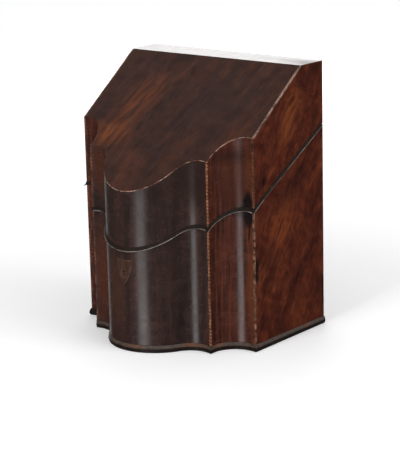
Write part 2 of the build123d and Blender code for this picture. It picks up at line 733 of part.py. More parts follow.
def lid_pieces():
    """The walls, panels and strips of the lid."""
    footprints = wall_footprints()
    pieces = {f"lid_{name}": lid_upright(face, LID_BOARD) for name, face in footprints.items()}
    strips = {f"lid_{name}": lid_upright(face, 0) for name, face in stringing_footprints().items()}
    plan = extrude(plan_face(), CASE_HEIGHT)
    under_slope = split(split(plan, SLOPE, Keep.BOTTOM), SLOPE.offset(-LID_BOARD), Keep.TOP)
    panel = split(under_slope, RIDGE_MITRE, Keep.TOP)
    slab = extrude(Pos(0, 0, CASE_HEIGHT - LID_BOARD) * plan_face(), LID_BOARD)
    top_board = split(slab, RIDGE_MITRE, Keep.BOTTOM)
    edge_x = HALF_WIDTH - SLOPE_STRINGING / 2
    edge_band = Pos(edge_x, -CASE_DEPTH / 2, CASE_HEIGHT / 2) * Box(SLOPE_STRINGING, CASE_DEPTH, CASE_HEIGHT)
    edge = split(panel & edge_band, SLOPE.offset(-SLOPE_STRINGING), Keep.TOP)
    edge -= strips["lid_right_corner_stringing"]
    edges = both_sides("lid_right_slope_stringing", edge)
    for strip in (*strips.values(), *edges.values()):
        panel -= strip
    pieces["lid_back"] = split(pieces["lid_back"], lid_bevel(), Keep.TOP)
    for name in ("lid_left_side", "lid_right_side"):
        pieces[name] = split(pieces[name], lid_bevel(), Keep.TOP)
    for x in (-HINGE_X, HINGE_X):
        pieces["lid_back"] -= hinge_frame(x) * hinge_recess(1)
    pieces["lid_bow_front"] -= link_flat()
    for each in link_screws():
        pieces["lid_bow_front"] -= each
    return {"lid_slope_panel": panel, "lid_top_board": top_board, **pieces, **strips, **edges}


def moulding_pieces():
    """The level moulding round the base and the sloping one round the lid's rim."""
    bevel_foot = lid_bevel().origin.Y - LID_GAP
    pieces = {}
    for name, piece in mouldings(base_moulding_section(), 0).items():
        pieces[f"base_moulding_{name}"] = piece
    for name, piece in mouldings(lid_moulding_section(), -bevel_foot).items():
        pieces[f"lid_moulding_{name}"] = sloped(piece)
    return pieces


def fitting_pieces():
    """Dividers, runners, nails, hinges and lock."""
    pieces = {"base_nails": group(base_nails())}
    for index, place in enumerate(("rear", "middle", "front")[:DIVIDER_COUNT]):
        pieces[f"{place}_letter_divider"] = letter_divider(index)
    pieces.update(both_sides("right_divider_runner", divider_runner()))
    case_screws = []
    lid_screws = []
    for side, x in (("left", -HINGE_X), ("right", HINGE_X)):
        frame = hinge_frame(x)
        pieces[f"{side}_hinge_case_leaf"] = frame * hinge_leaf(-1)
        pieces[f"{side}_hinge_lid_leaf"] = frame * hinge_leaf(1)
        pieces[f"{side}_hinge_pin"] = frame * along_x(PIN_RADIUS, HINGE_LENGTH)
        case_screws += [frame * each for each in leaf_screws(-1)]
        lid_screws += [frame * each for each in leaf_screws(1)]
    pieces["hinge_case_screws"] = group(case_screws)
    pieces["hinge_lid_screws"] = group(lid_screws)
    pieces["lock_case"] = lock_case()
    pieces["lock_bolt"] = lock_bolt()
    pieces["lock_screws"] = group(lock_screws())
    pieces["lock_link_plate"] = link_plate()
    pieces["lock_link_screws"] = group(link_screws())
    pieces["keyhole_shield"] = shield_inlay()
    return pieces


def main():
    """Make every piece, move it onto the shared origin and write it under its own name."""
    os.makedirs("parts", exist_ok=True)
    pieces = {**case_pieces(), **lid_pieces(), **moulding_pieces(), **fitting_pieces()}
    for name, piece in pieces.items():
        export_step(CENTRE_SHIFT * piece, f"parts/{name}.step")
    print(len(pieces), "pieces written")


main()
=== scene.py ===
"""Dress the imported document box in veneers, strings, worn mouldings and fittings, and set camera and light.

Sizes are in millimetres and are turned to the frame's metres by MM. The origin is on the table under the
middle of the box, the front is towards -Y and up is +Z.
"""

from __future__ import annotations

import json
import logging
import math
from dataclasses import dataclass, field, replace
from enum import Enum
from functools import cache

import bmesh
import bpy
from mathutils import Matrix, Vector, noise

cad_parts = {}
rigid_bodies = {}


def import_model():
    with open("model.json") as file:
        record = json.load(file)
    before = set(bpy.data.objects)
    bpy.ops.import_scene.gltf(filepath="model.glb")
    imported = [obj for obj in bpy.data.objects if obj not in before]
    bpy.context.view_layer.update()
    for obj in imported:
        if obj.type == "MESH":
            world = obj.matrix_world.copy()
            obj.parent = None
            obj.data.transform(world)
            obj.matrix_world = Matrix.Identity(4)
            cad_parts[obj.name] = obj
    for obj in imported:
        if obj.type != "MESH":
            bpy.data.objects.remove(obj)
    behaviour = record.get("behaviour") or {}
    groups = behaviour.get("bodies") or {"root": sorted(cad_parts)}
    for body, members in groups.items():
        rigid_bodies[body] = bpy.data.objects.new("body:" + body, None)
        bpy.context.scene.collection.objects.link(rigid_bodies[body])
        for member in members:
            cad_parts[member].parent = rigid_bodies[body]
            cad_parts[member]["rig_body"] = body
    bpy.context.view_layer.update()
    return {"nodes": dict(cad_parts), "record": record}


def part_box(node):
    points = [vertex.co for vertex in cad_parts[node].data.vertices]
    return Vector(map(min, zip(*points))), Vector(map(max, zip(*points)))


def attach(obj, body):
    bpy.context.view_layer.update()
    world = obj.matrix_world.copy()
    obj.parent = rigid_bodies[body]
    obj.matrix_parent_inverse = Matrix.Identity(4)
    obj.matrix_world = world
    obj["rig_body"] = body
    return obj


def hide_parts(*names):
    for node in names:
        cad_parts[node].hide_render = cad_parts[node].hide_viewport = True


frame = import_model()

Tree = bpy.types.NodeTree
Socket = bpy.types.NodeSocket
BMesh = bmesh.types.BMesh
Edge = bmesh.types.BMEdge
Pair = tuple[float, float]
Triple = tuple[float, float, float]
Arcs = list[tuple[Vector, Vector, Vector]]

LOG = logging.getLogger("document_box")
MM = 0.001
UP = Vector((0.0, 0.0, 1.0))
# Shifts the solid noise that nicks and dents follow
NOISE_SHIFT = Vector((17.0, 0.0, 0.0))
# How near a face lies to one of the box's planes or front curves that it belongs to
TOUCH = 0.1
CURVE_TOUCH = 0.25
# Shares of a face's normal along an axis: squarely facing it, slanting to it, and the least that counts
SQUARE = 0.9
SLANTING = 0.5
LEVELLED = 0.3
FORWARD = 0.4
# Triangles that bend less than this are one face of a board
FLAT_BEND = math.radians(0.6)
# Edges that bend more than this are corners of a board
CORNER_BEND = math.radians(25)
# How far in front of the corner a side's moulding reaches
MITRE_REACH = 3.0

# Plan of the box's front, right-hand half, worked out from the case's own sizes
HALF_WIDTH = 114.0
CROWN_Y = -96.0
BACK_Y = 98.0
TOP_Z = 286.5
RIDGE_Y = 59.4
SLOPE_TILT = math.radians(36.8)
PARTING_TILT = math.radians(29.5)
PARTING_BACK_Z = 217.2
LID_GAP = 0.3
BOW_RADIUS = 52.0
BOW_TURN = math.radians(62.8)
COVE_DEPTH = 12.4
ARRIS = Vector((79.0, CROWN_Y + 41.0))
CORNER = Vector((HALF_WIDTH, CROWN_Y + 71.7))
BOW_CENTRE = Vector((0.0, CROWN_Y + BOW_RADIUS))
TURN_WAY = Vector((math.sin(BOW_TURN), -math.cos(BOW_TURN)))
TURN = BOW_CENTRE + TURN_WAY * BOW_RADIUS
HOLLOW_RADIUS = (ARRIS - TURN).length_squared / (2 * (ARRIS - TURN).dot(TURN_WAY))
HOLLOW_CENTRE = TURN + TURN_WAY * HOLLOW_RADIUS
COVE_CHORD = CORNER - ARRIS
COVE_RADIUS = (COVE_CHORD.length_squared / 4 + COVE_DEPTH**2) / (2 * COVE_DEPTH)
COVE_OUTWARD = Vector((COVE_CHORD.y, -COVE_CHORD.x)).normalized()
COVE_CENTRE = (ARRIS + CORNER) / 2 + COVE_OUTWARD * (COVE_RADIUS - COVE_DEPTH)
ARRIS_OUT = ((HOLLOW_CENTRE - ARRIS).normalized() + (COVE_CENTRE - ARRIS).normalized()).normalized()
CORNER_OUT = ((COVE_CENTRE - CORNER).normalized() + Vector((1.0, 0.0))).normalized()


def linear(code: str) -> tuple[float, float, float, float]:
    """Turn an sRGB hex colour to linear RGBA.

    Args:
        code: Six hex digits after a hash.

    Returns:
        Red, green, blue and alpha.
    """
    parts = [int(code[i : i + 2], 16) / 255 for i in (1, 3, 5)]
    red, green, blue = (c / 12.92 if c <= 0.04045 else ((c + 0.055) / 1.055) ** 2.4 for c in parts)
    return red, green, blue, 1.0


def add_node(tree: Tree, kind: str, links: dict | None = None, **settings) -> bpy.types.Node:
    """Add a node with its settings and its inputs.

    Args:
        tree: The node tree.
        kind: The node's type name, without the ShaderNode prefix.
        links: Input name or index to a value or to another node's output.
        settings: Attributes of the node.

    Returns:
        The new node.
    """
    node = tree.nodes.new("ShaderNode" + kind)
    for name, value in settings.items():
        setattr(node, name, value)
    for name, value in (links or {}).items():
        if isinstance(value, Socket):
            tree.links.new(value, node.inputs[name])
        else:
            node.inputs[name].default_value = value
    return node


def start_material(name: str) -> tuple[bpy.types.Material, Tree, Socket]:
    """Make an empty node material.

    Args:
        name: The material's name.

    Returns:
        The material, its tree and its Object coordinate output.
    """
    material = bpy.data.materials.new(name)
    material.use_nodes = True
    material.node_tree.nodes.clear()
    coord = add_node(material.node_tree, "TexCoord")
    return material, material.node_tree, coord.outputs["Object"]


def finish_material(tree: Tree, links: dict) -> None:
    """Close a material with a Principled shader.

    Args:
        tree: The material's tree.
        links: The shader's inputs.
    """
    shader = add_node(tree, "BsdfPrincipled", links)
    add_node(tree, "OutputMaterial", {"Surface": shader.outputs["BSDF"]})


def grown_pattern(
    tree: Tree,
    place: Socket,
    size: Triple,
    detail: float,
    turn: Triple = (0.0, 0.0, 0.0),
    roughness: float = 0.5,
    distortion: float = 0.0,
) -> Socket:
    """Draw a noise whose features have a real size, as grain and wear have.

    Args:
        tree: The material's tree.
        place: The coordinate, in metres.
        size: Size of a feature along the pattern's own axes, in mm.
        detail: Octaves of finer noise.
        turn: Turn of those axes, in degrees.
        roughness: How strong the finer octaves are.
        distortion: How far the noise bends itself.

    Returns:
        Noise about 0.5.
    """
    scaled = add_node(
        tree,
        "Mapping",
        {"Vector": place, "Rotation": [math.radians(t) for t in turn], "Scale": [s * MM for s in size]},
        vector_type="TEXTURE",
    ).outputs["Vector"]
    look = {"Scale": 1.0, "Detail": detail, "Roughness": roughness, "Distortion": distortion}
    return add_node(tree, "TexNoise", {"Vector": scaled, **look}).outputs["Fac"]


def laid_over(
    tree: Tree,
    under: Socket | tuple[float, ...],
    over: str,
    pattern: Socket,
    rise: Pair,
    most: float = 1.0,
) -> Socket:
    """Lay a colour over another where a pattern rises.

    Args:
        tree: The material's tree.
        under: The colour below.
        over: The colour above, as sRGB hex.
        pattern: The pattern.
        rise: The pattern's values where the upper colour starts and where it is full.
        most: How much of the upper colour shows at most.

    Returns:
        The mixed colour.
    """
    low, high = rise
    share = add_node(tree, "MapRange", {"Value": pattern, "From Min": low, "From Max": high, "To Max": most})
    mixed = {"Factor": share.outputs[0], 6: under, 7: linear(over)}
    return add_node(tree, "Mix", mixed, data_type="RGBA").outputs[2]


@dataclass(frozen=True)
class Blot:
    """A patch of another colour on a veneer, such as a stain, a rubbed place or painted shade."""

    centre: Triple
    reach: Triple
    colour: str
    strength: float = 0.8
    edge: float = 0.45
    turn: Triple = (0.0, 0.0, 0.0)
    # How far a patch dulls the gloss: worn varnish, or painted shade where a mirrored band fades
    dull: float = 0.0
    streaky: bool = False


@dataclass(frozen=True)
class Veneer:
    """Saw-cut mahogany veneer under old shellac: streaked figure, open pores and a soft gloss.

    The tones run from the figure's dark streaks over its body and warm ground to its glow.
    """

    name: str
    tones: tuple[str, str, str, str]
    turn: Triple = (0.0, 0.0, 0.0)
    figure: Triple = (9.0, 9.0, 95.0)
    contrast: float = 1.0
    fibre: float = 0.3
    bend: float = 14.0
    roughness: float = 0.3
    coat: float = 0.35
    scratched: float = 0.0
    specular: float = 0.5
    blots: tuple[Blot, ...] = ()
    # Real fibres and pores are 0.1 mm wide; they are drawn coarser so that they show
    fibre_size: Triple = (1.3, 1.3, 42.0)
    pore_size: Triple = (0.5, 0.5, 9.0)
    mottle_size: Triple = (16.0, 16.0, 9.0)
    flame_size: Triple = (4.5, 4.5, 55.0)
    scratch_size: Triple = (0.3, 0.3, 26.0)
    # Where each tone lies along the mixed pattern
    tone_places: tuple[float, ...] = (0.34, 0.47, 0.58, 0.72)
    gloss_swing: Pair = (0.04, 0.06)
    pore_colour: str = "#150c09"
    scratch_colour: str = "#7d6258"

    def build(self) -> bpy.types.Material:
        """Make the material.

        Returns:
            The material.
        """
        material, tree, place = start_material(self.name)
        bent = self.shifted(tree, place, 16.0, self.bend)
        ragged = self.shifted(tree, place, 130.0, 3.5)
        figure = self.streaks(tree, bent, self.figure, 3.0)
        fibres = self.streaks(tree, bent, self.fibre_size, 2.0)
        pores = self.streaks(tree, bent, self.pore_size, 2.0)
        mottle = self.streaks(tree, place, self.mottle_size, 3.0)
        tone = 0.5
        for pattern, amount in ((figure, self.contrast), (fibres, self.fibre), (mottle, 0.25)):
            centred = add_node(tree, "Math", {0: pattern, 1: 0.5}, operation="SUBTRACT").outputs[0]
            added = {0: centred, 1: amount, 2: tone}
            tone = add_node(tree, "Math", added, operation="MULTIPLY_ADD").outputs[0]
        ramp = add_node(tree, "ValToRGB", {"Fac": tone})
        stops = ramp.color_ramp.elements
        while len(stops) < len(self.tones):
            stops.new(1.0)
        for stop, position, code in zip(stops, self.tone_places, self.tones):
            stop.position = position
            stop.color = linear(code)
        colour = laid_over(tree, ramp.outputs["Color"], self.pore_colour, pores, (0.54, 0.72), 0.3)
        gloss = 1.0
        flames = self.streaks(tree, bent, self.flame_size, 4.0)
        for blot in self.blots:
            colour, gloss = self.add_blot(tree, ragged, blot, colour, gloss, flames)
        if self.scratched:
            lines = self.streaks(tree, place, self.scratch_size, 1.0)
            colour = laid_over(tree, colour, self.scratch_colour, lines, (0.62, 0.7), self.scratched)
        low, high = self.roughness - self.gloss_swing[0], self.roughness + self.gloss_swing[1]
        rough = {"Value": mottle, "From Min": 0.3, "From Max": 0.7, "To Min": low, "To Max": high}
        links = {
            "Base Color": colour,
            "Roughness": add_node(tree, "MapRange", rough).outputs[0],
            "IOR": 1.5,
            "Coat Roughness": 0.2,
            "Normal": self.relief(tree, place, pores),
        }
        for name, level in (("Specular IOR Level", self.specular), ("Coat Weight", self.coat)):
            links[name] = level
            if level and isinstance(gloss, Socket):
                dulled = add_node(tree, "Math", {0: gloss, 1: level}, operation="MULTIPLY")
                links[name] = dulled.outputs[0]
        finish_material(tree, links)
        return material

    @staticmethod
    def relief(tree: Tree, place: Socket, pores: Socket) -> Socket:
        """Let old glue lines and shrinkage swell the leaf softly, with its pores on top.

        Args:
            tree: The material's tree.
            place: The coordinate.
            pores: The pores' pattern.

        Returns:
            The normal.
        """
        swell = add_node(tree, "TexNoise", {"Vector": place, "Scale": 26.0, "Detail": 1.0}).outputs["Fac"]
        waves = add_node(tree, "Bump", {"Height": swell, "Strength": 0.3, "Distance": 0.4 * MM})
        grain = {"Height": pores, "Strength": 0.1, "Distance": 0.03 * MM, "Normal": waves.outputs["Normal"]}
        return add_node(tree, "Bump", grain).outputs["Normal"]

    def streaks(self, tree: Tree, place: Socket, size: Triple, detail: float) -> Socket:
        """Draw noise along the leaf's grain, its size given across, across and along it, in mm."""
        return grown_pattern(tree, place, size, detail, self.turn, distortion=0.3)

    @staticmethod
    def shifted(tree: Tree, place: Socket, scale: float, reach: float) -> Socket:
        """Bend a coordinate with soft noise.

        Args:
            tree: The material's tree.
            place: The coordinate, in metres.
            scale: Noise features in a metre.
            reach: How far the coordinate is moved, in mm.

        Returns:
            The bent coordinate.
        """
        drift = add_node(tree, "TexNoise", {"Vector": place, "Scale": scale, "Detail": 2.0}).outputs["Color"]
        centred = add_node(tree, "VectorMath", {0: drift, 1: (0.5, 0.5, 0.5)}, operation="SUBTRACT")
        moved = {0: centred.outputs[0], 1: (reach * MM,) * 3, 2: place}
        return add_node(tree, "VectorMath", moved, operation="MULTIPLY_ADD").outputs[0]

    @staticmethod
    def add_blot(
        tree: Tree, place: Socket, blot: Blot, colour: Socket, gloss: Socket | float, flames: Socket
    ) -> tuple[Socket, Socket | float]:
        """Lay one patch over a colour.

        Args:
            tree: The material's tree.
            place: The coordinate, already bent so that the patch has a natural outline.
            blot: The patch.
            colour: What lies under it.
            gloss: Share of the varnish's gloss under it.
            flames: Streaks that break up a streaky patch.

        Returns:
            The colour and the gloss with the patch.
        """
        reach = add_node(
            tree,
            "Mapping",
            {
                "Vector": place,
                "Location": [c * MM for c in blot.centre],
                "Rotation": [math.radians(t) for t in blot.turn],
                "Scale": [s * MM for s in blot.reach],
            },
            vector_type="TEXTURE",
        )
        away = add_node(tree, "VectorMath", {0: reach.outputs["Vector"]}, operation="LENGTH").outputs["Value"]
        fading = {"Value": away, "From Min": 1.0, "From Max": 1.0 - blot.edge, "To Max": blot.strength}
        mask = add_node(tree, "MapRange", fading, interpolation_type="SMOOTHSTEP").outputs[0]
        if blot.streaky:
            tongues = {"Value": flames, "From Min": 0.4, "From Max": 0.6, "To Min": 0.1}
            broken = add_node(tree, "MapRange", tongues).outputs[0]
            mask = add_node(tree, "Math", {0: mask, 1: broken}, operation="MULTIPLY").outputs[0]
        mixed = add_node(tree, "Mix", {"Factor": mask, 6: colour, 7: linear(blot.colour)}, data_type="RGBA")
        if blot.dull:
            lost = add_node(tree, "Math", {0: mask, 1: -blot.dull, 2: 1.0}, operation="MULTIPLY_ADD")
            gloss = add_node(tree, "Math", {0: lost.outputs[0], 1: gloss}, operation="MULTIPLY").outputs[0]
        return mixed.outputs[2], gloss


@dataclass(frozen=True)
class PlainWood:
    """Close-grained wood such as boxwood stringing, an ebonised moulding or a carcass board."""

    name: str
    dark: str
    light: str
    grain: Triple = (0.8, 0.8, 14.0)
    roughness: float = 0.45
    worn: str = ""
    wear_size: float = 9.0
    wear_amount: float = 0.5
    coat: float = 0.1
    specular: float = 0.5

    def build(self) -> bpy.types.Material:
        """Make the material.

        Returns:
            The material.
        """
        material, tree, place = start_material(self.name)
        fibres = grown_pattern(tree, place, self.grain, 3.0)
        colour = laid_over(tree, linear(self.dark), self.light, fibres, (0.35, 0.65))
        if self.worn:
            rub = grown_pattern(tree, place, (self.wear_size,) * 3, 5.0, roughness=0.65)
            low = 1.0 - self.wear_amount
            colour = laid_over(tree, colour, self.worn, rub, (low - 0.08, low + 0.08))
        bump = add_node(tree, "Bump", {"Height": fibres, "Strength": 0.3, "Distance": 0.08 * MM})
        finish_material(
            tree,
            {
                "Base Color": colour,
                "Roughness": self.roughness,
                "IOR": 1.5,
                "Specular IOR Level": self.specular,
                "Coat Weight": self.coat,
                "Coat Roughness": 0.3,
                "Normal": bump.outputs["Normal"],
            },
        )
        return material


@dataclass(frozen=True)
class Metal:
    """Cast brass or wrought iron with handling marks and tarnish."""

    name: str
    bright: str
    tarnish: str
    roughness: float = 0.35

    def build(self) -> bpy.types.Material:
        """Make the material.

        Returns:
            The material.
        """
        material, tree, place = start_material(self.name)
        cloud = grown_pattern(tree, place, (5.0, 5.0, 5.0), 5.0, roughness=0.6)
        mask = add_node(tree, "MapRange", {"Value": cloud, "From Min": 0.4, "From Max": 0.62}).outputs[0]
        mixed = {"Factor": mask, 6: linear(self.bright), 7: linear(self.tarnish)}
        rough = {"Value": mask, "To Min": self.roughness, "To Max": self.roughness + 0.2}
        marks = grown_pattern(tree, place, (0.3, 4.0, 4.0), 2.0)
        bump = add_node(tree, "Bump", {"Height": marks, "Strength": 0.2, "Distance": 0.03 * MM})
        finish_material(
            tree,
            {
                "Base Color": add_node(tree, "Mix", mixed, data_type="RGBA").outputs[2],
                "Metallic": 1.0,
                "Roughness": add_node(tree, "MapRange", rough).outputs[0],
                "Normal": bump.outputs["Normal"],
            },
        )
        return material


Finish = Veneer | PlainWood | Metal


class Side(Enum):
    """Which side of the box a face of a board belongs to."""

    INSIDE = 0
    BOW = 1
    COVE = 2
    CHEEK = 3
    BACK = 4
    SLOPE = 5
    TOP = 6
    RIM = 7
    UNDER = 8
    # The slope's front edge: rubbed pale and with a painted highlight
    WORN_EDGE_AND_HIGHLIGHT = 9
    CHAFED_EDGE = 10


# Mahogany veneers, one leaf for each face. Object coordinates give each its own part of the figure.
# The bow: straight-grained leaf, polished and darkened by handling, so almost black with a clear gloss
BOW_VENEER = Veneer(
    "bow_mahogany_veneer",
    ("#241917", "#2f211e", "#3a2621", "#482b21"),
    figure=(14.0, 14.0, 130.0),
    contrast=0.6,
    bend=10.0,
    roughness=0.25,
    coat=0.0,
    specular=0.75,
    blots=(
        Blot((-16.0, -94.0, 60.0), (24.0, 16.0, 60.0), "#4d2e20", 0.55, 0.9),
        Blot((-34.0, -84.0, 40.0), (18.0, 18.0, 60.0), "#4a2818", 0.5, 0.9),
        Blot((-66.0, -66.0, 60.0), (22.0, 26.0, 92.0), "#5c2e1b", 0.7, 0.6),
        Blot((-66.0, -66.0, 180.0), (22.0, 26.0, 44.0), "#4b2719", 0.75, 0.5),
        Blot((1.6, -96.0, 130.5), (4.0, 4.0, 5.0), "#241a18", 0.5, 0.2),
        Blot((1.6, -96.0, 130.5), (3.0, 4.0, 4.0), "#3a2a26", 0.6, 0.2),
        # Painted shade on the lid's part of the bow: darker and with duller gloss, so the mirrored band fades
        # towards the top
        Blot((66.0, -64.0, 188.0), (26.0, 26.0, 54.0), "#2b1f1c", 0.85, 0.5, dull=0.9),
    ),
)
# The coves: narrow upright leaves, redder than the bow, stained black and cracked at the right-hand corner
COVE_VENEER = Veneer(
    "cove_mahogany_veneer",
    ("#2c1611", "#421f17", "#53281b", "#66331d"),
    figure=(5.0, 5.0, 120.0),
    contrast=0.6,
    fibre=0.5,
    bend=5.0,
    roughness=0.25,
    coat=0.0,
    specular=0.8,
    blots=(
        Blot((107.0, -22.0, 190.0), (8.0, 12.0, 30.0), "#7a4420", 0.5, 0.9),
        Blot((110.0, -22.0, 70.0), (12.0, 14.0, 80.0), "#6b3a20", 0.6, 0.9),
        # Painted shade on the lid's part of the cove: darker and with duller gloss, so the mirrored band
        # fades, darkest at its top
        Blot((98.0, -34.0, 182.0), (22.0, 26.0, 52.0), "#43241a", 0.75, 0.5, dull=0.8),
        Blot((94.0, -36.0, 205.0), (30.0, 30.0, 12.0), "#271512", 0.7, 0.9, dull=0.5),
        Blot((106.5, -23.4, 150.0), (7.5, 9.0, 22.0), "#121012", 0.95, 0.35),
        Blot((100.5, -24.0, 148.0), (12.0, 9.0, 9.0), "#16110f", 0.8, 0.5),
        Blot((107.4, -23.4, 129.0), (0.9, 4.0, 15.0), "#120b09", 0.95, 0.5, (0.0, 7.0, 0.0)),
    ),
)
# The sides: a slanting flame cut from a crotch, so its streaks lean back and glow orange
CHEEK_VENEER = Veneer(
    "side_flame_mahogany_veneer",
    ("#280e07", "#451709", "#5f260b", "#843e10"),
    turn=(-31.0, 0.0, 0.0),
    figure=(19.0, 19.0, 64.0),
    contrast=0.44,
    fibre=0.42,
    bend=38.0,
    roughness=0.36,
    coat=0.0,
    blots=(
        Blot((114.0, 22.0, 118.0), (6.0, 26.0, 55.0), "#843f12", 0.6, 0.95, (-28.0, 0.0, 0.0), streaky=True),
        Blot((114.0, 40.0, 235.0), (6.0, 24.0, 46.0), "#8a4718", 0.6, 0.95, (-25.0, 0.0, 0.0), streaky=True),
        Blot((114.0, 2.0, 95.0), (6.0, 14.0, 30.0), "#2c0f07", 0.5, 0.9, (-20.0, 0.0, 0.0)),
        Blot((114.0, -6.7, 176.0), (6.0, 3.6, 5.0), "#140a08", 0.9, 0.6),
        Blot((114.0, 95.8, 40.0), (6.0, 1.6, 20.0), "#120b0a", 0.9, 0.5),
        Blot((114.0, -21.0, 84.0), (6.0, 5.5, 16.0), "#150b08", 0.9, 0.4),
    ),
)
# The slope: scratched by use, its varnish darkened to the right and worn to orange streaks at the left
SLOPE_VENEER = Veneer(
    "slope_mahogany_veneer",
    ("#2a1a17", "#35201b", "#42251b", "#522c1b"),
    turn=(-53.2, 0.0, -13.0),
    figure=(13.0, 13.0, 80.0),
    contrast=0.52,
    fibre=0.36,
    bend=20.0,
    roughness=0.34,
    scratched=0.26,
    blots=(
        Blot((-56.0, 4.0, 244.0), (30.0, 66.0, 60.0), "#723a1b", 0.7, 0.95, (0.0, 0.0, -13.0), streaky=True),
        Blot((-64.0, -38.0, 213.0), (38.0, 26.0, 26.0), "#7c4018", 0.75, 0.95, streaky=True),
        Blot((-20.0, -62.0, 196.0), (34.0, 22.0, 22.0), "#5a3220", 0.6, 0.95, streaky=True),
        Blot((44.0, 10.0, 250.0), (62.0, 62.0, 62.0), "#32211d", 0.65, 0.95),
    ),
)
# The top: level and hand-polished, so it mirrors the room, with dull worn ends and back edge
TOP_VENEER = Veneer(
    "top_mahogany_veneer",
    ("#2f1c18", "#46291f", "#5a3422", "#6d4328"),
    turn=(0.0, 90.0, 0.0),
    figure=(10.0, 10.0, 110.0),
    roughness=0.24,
    coat=0.8,
    blots=(
        Blot((0.0, 99.5, 286.5), (420.0, 5.5, 5.0), "#3a2721", 0.6, 0.9, dull=1.0),
        Blot((114.0, 82.0, 286.5), (90.0, 13.0, 5.0), "#4a3026", 0.6, 0.8, dull=0.9, streaky=True),
        Blot((116.0, 74.0, 286.5), (50.0, 24.0, 5.0), "#3f2a23", 0.8, 0.9, dull=0.9),
        Blot((-114.0, 80.0, 286.5), (30.0, 20.0, 5.0), "#4a3026", 0.4, 0.9, dull=0.5),
    ),
)
# The back: a plain sawn board, barely polished, so broad quiet streaks and no gloss
BACK_BOARD = Veneer(
    "back_mahogany_board",
    ("#2e1812", "#45241a", "#552c1d", "#633522"),
    figure=(22.0, 22.0, 150.0),
    roughness=0.5,
    coat=0.05,
)
# Solid mahogany inside: planed and waxed, kept from the light, so even and brownish red
INNER_MAHOGANY = Veneer(
    "inner_mahogany",
    ("#4a2619", "#5c3020", "#6d3b25", "#7c472c"),
    turn=(0.0, 90.0, 0.0),
    figure=(12.0, 12.0, 130.0),
    contrast=0.7,
    roughness=0.5,
    coat=0.1,
)
# Bare planed pine of the carcass: dry and dull, browned by age, with long growth lines
CARCASS_PINE = PlainWood(
    "carcass_pine", "#75543a", "#927250", grain=(70.0, 2.4, 2.4), roughness=0.7, coat=0.0
)
UPRIGHT_PINE = replace(CARCASS_PINE, name="upright_carcass_pine", grain=(2.4, 2.4, 70.0))
# Boxwood strings scraped flush: honey where they are clean, dark where grime fills the joints
BOXWOOD = PlainWood("boxwood_string", "#8a4c30", "#bd8560", worn="#4a281c", wear_size=6.0, wear_amount=0.46)
PALE_BOXWOOD = PlainWood(
    "pale_boxwood_string", "#6b4632", "#a87f66", worn="#3a2018", wear_size=6.0, wear_amount=0.52
)
GRIMED_BOXWOOD = PlainWood("grimed_boxwood_string", "#54301e", "#875636", worn="#331b13")
# The slope's edge strings: rubbed bare by hands, so pale with dark breaks
RUBBED_STRING = PlainWood(
    "rubbed_slope_string", "#5f4034", "#b4937f", worn="#38221b", wear_size=13.0, wear_amount=0.44
)
# The chequer's dark blocks: boxwood stained through before it was glued up
STAINED_STRING = PlainWood("stained_string", "#23120f", "#3a1c15")
# Mouldings stained black and waxed: near black, brown where the stain has rubbed thin
EBONISED = PlainWood(
    "ebonised_moulding", "#1a1412", "#28201c", roughness=0.42, worn="#36271f", wear_amount=0.36, coat=0.0,
    specular=0.2,
)
# The lip's nose: burnished by handling, its light grey a painted highlight along the lip
RUBBED_EDGE_AND_HIGHLIGHT = PlainWood(
    "rubbed_moulding_edge_and_highlight", "#6c6058", "#b0a59b", roughness=0.3, worn="#4c413a", wear_size=14.0, coat=0.3
)
# The base moulding's face: greyer than the black stain as a painted sheen, scuffed by shelves, with brown
# patches of bare wood
BASE_FACE_AND_SHEEN = PlainWood(
    "worn_base_moulding_and_sheen", "#352a25", "#584c45", roughness=0.33, worn="#6b4129", wear_size=24.0,
    wear_amount=0.42, coat=0.3,
)
# The lid's front edge: veneer rubbed through to pale bare wood, made paler still by a painted highlight
WORN_EDGE_AND_HIGHLIGHT = PlainWood(
    "worn_veneer_edge_and_highlight", "#85523a", "#c9ada0", roughness=0.38, worn="#4c2b1c", wear_size=10.0
)
# The sides' upper rim: chafed by the lid and soaked with grime
CHAFED_EDGE = PlainWood(
    "chafed_rim_edge", "#5c3826", "#8d6a55", roughness=0.4, worn="#2a1a14", wear_size=12.0
)
# The shield: fine-grained inlay under the bow's own grime, with a thin paler line round it
SHIELD_WOOD = Veneer(
    "shield_inlay_wood", ("#35211a", "#442c22", "#523a2e", "#60453a"), figure=(2.6, 2.6, 40.0), bend=3.0
)
SHIELD_LINE = PlainWood("shield_edge_line", "#54382a", "#6b4e3f", worn="#3a261d", wear_size=5.0)
# Cast and filed fittings: brass dulled by two centuries of air, and iron gone brown
BRASS = Metal("old_brass", bright="#ab8a52", tarnish="#7a5f37")
IRON = Metal("lock_iron", bright="#6d6a66", tarnish="#3b312b", roughness=0.45)


def leans(point: Vector, tilt: float, level: float, at_y: float) -> float:
    """Height of a point over a plane that rises to the back.

    Args:
        point: The point, in mm.
        tilt: The plane's tilt.
        level: The plane's height at at_y.
        at_y: Where that height is given.

    Returns:
        The distance over the plane, in mm.
    """
    return (point.z - level - (point.y - at_y) * math.tan(tilt)) * math.cos(tilt)


def off_front(point: Vector) -> tuple[float, Side]:
    """How far a point lies from the serpentine front, and on which of its curves.

    Args:
        point: The point, in mm.

    Returns:
        The distance in plan, in mm, and the curve's side.
    """
    plan = Vector((abs(point.x), point.y))
    if plan.x <= TURN.x:
        return abs((plan - BOW_CENTRE).length - BOW_RADIUS), Side.BOW
    cove = abs((plan - COVE_CENTRE).length - COVE_RADIUS)
    if plan.x <= ARRIS.x + 0.05:
        hollow = abs((plan - HOLLOW_CENTRE).length - HOLLOW_RADIUS)
        return min((hollow, Side.BOW), (cove, Side.COVE), key=lambda pair: pair[0])
    return cove, Side.COVE


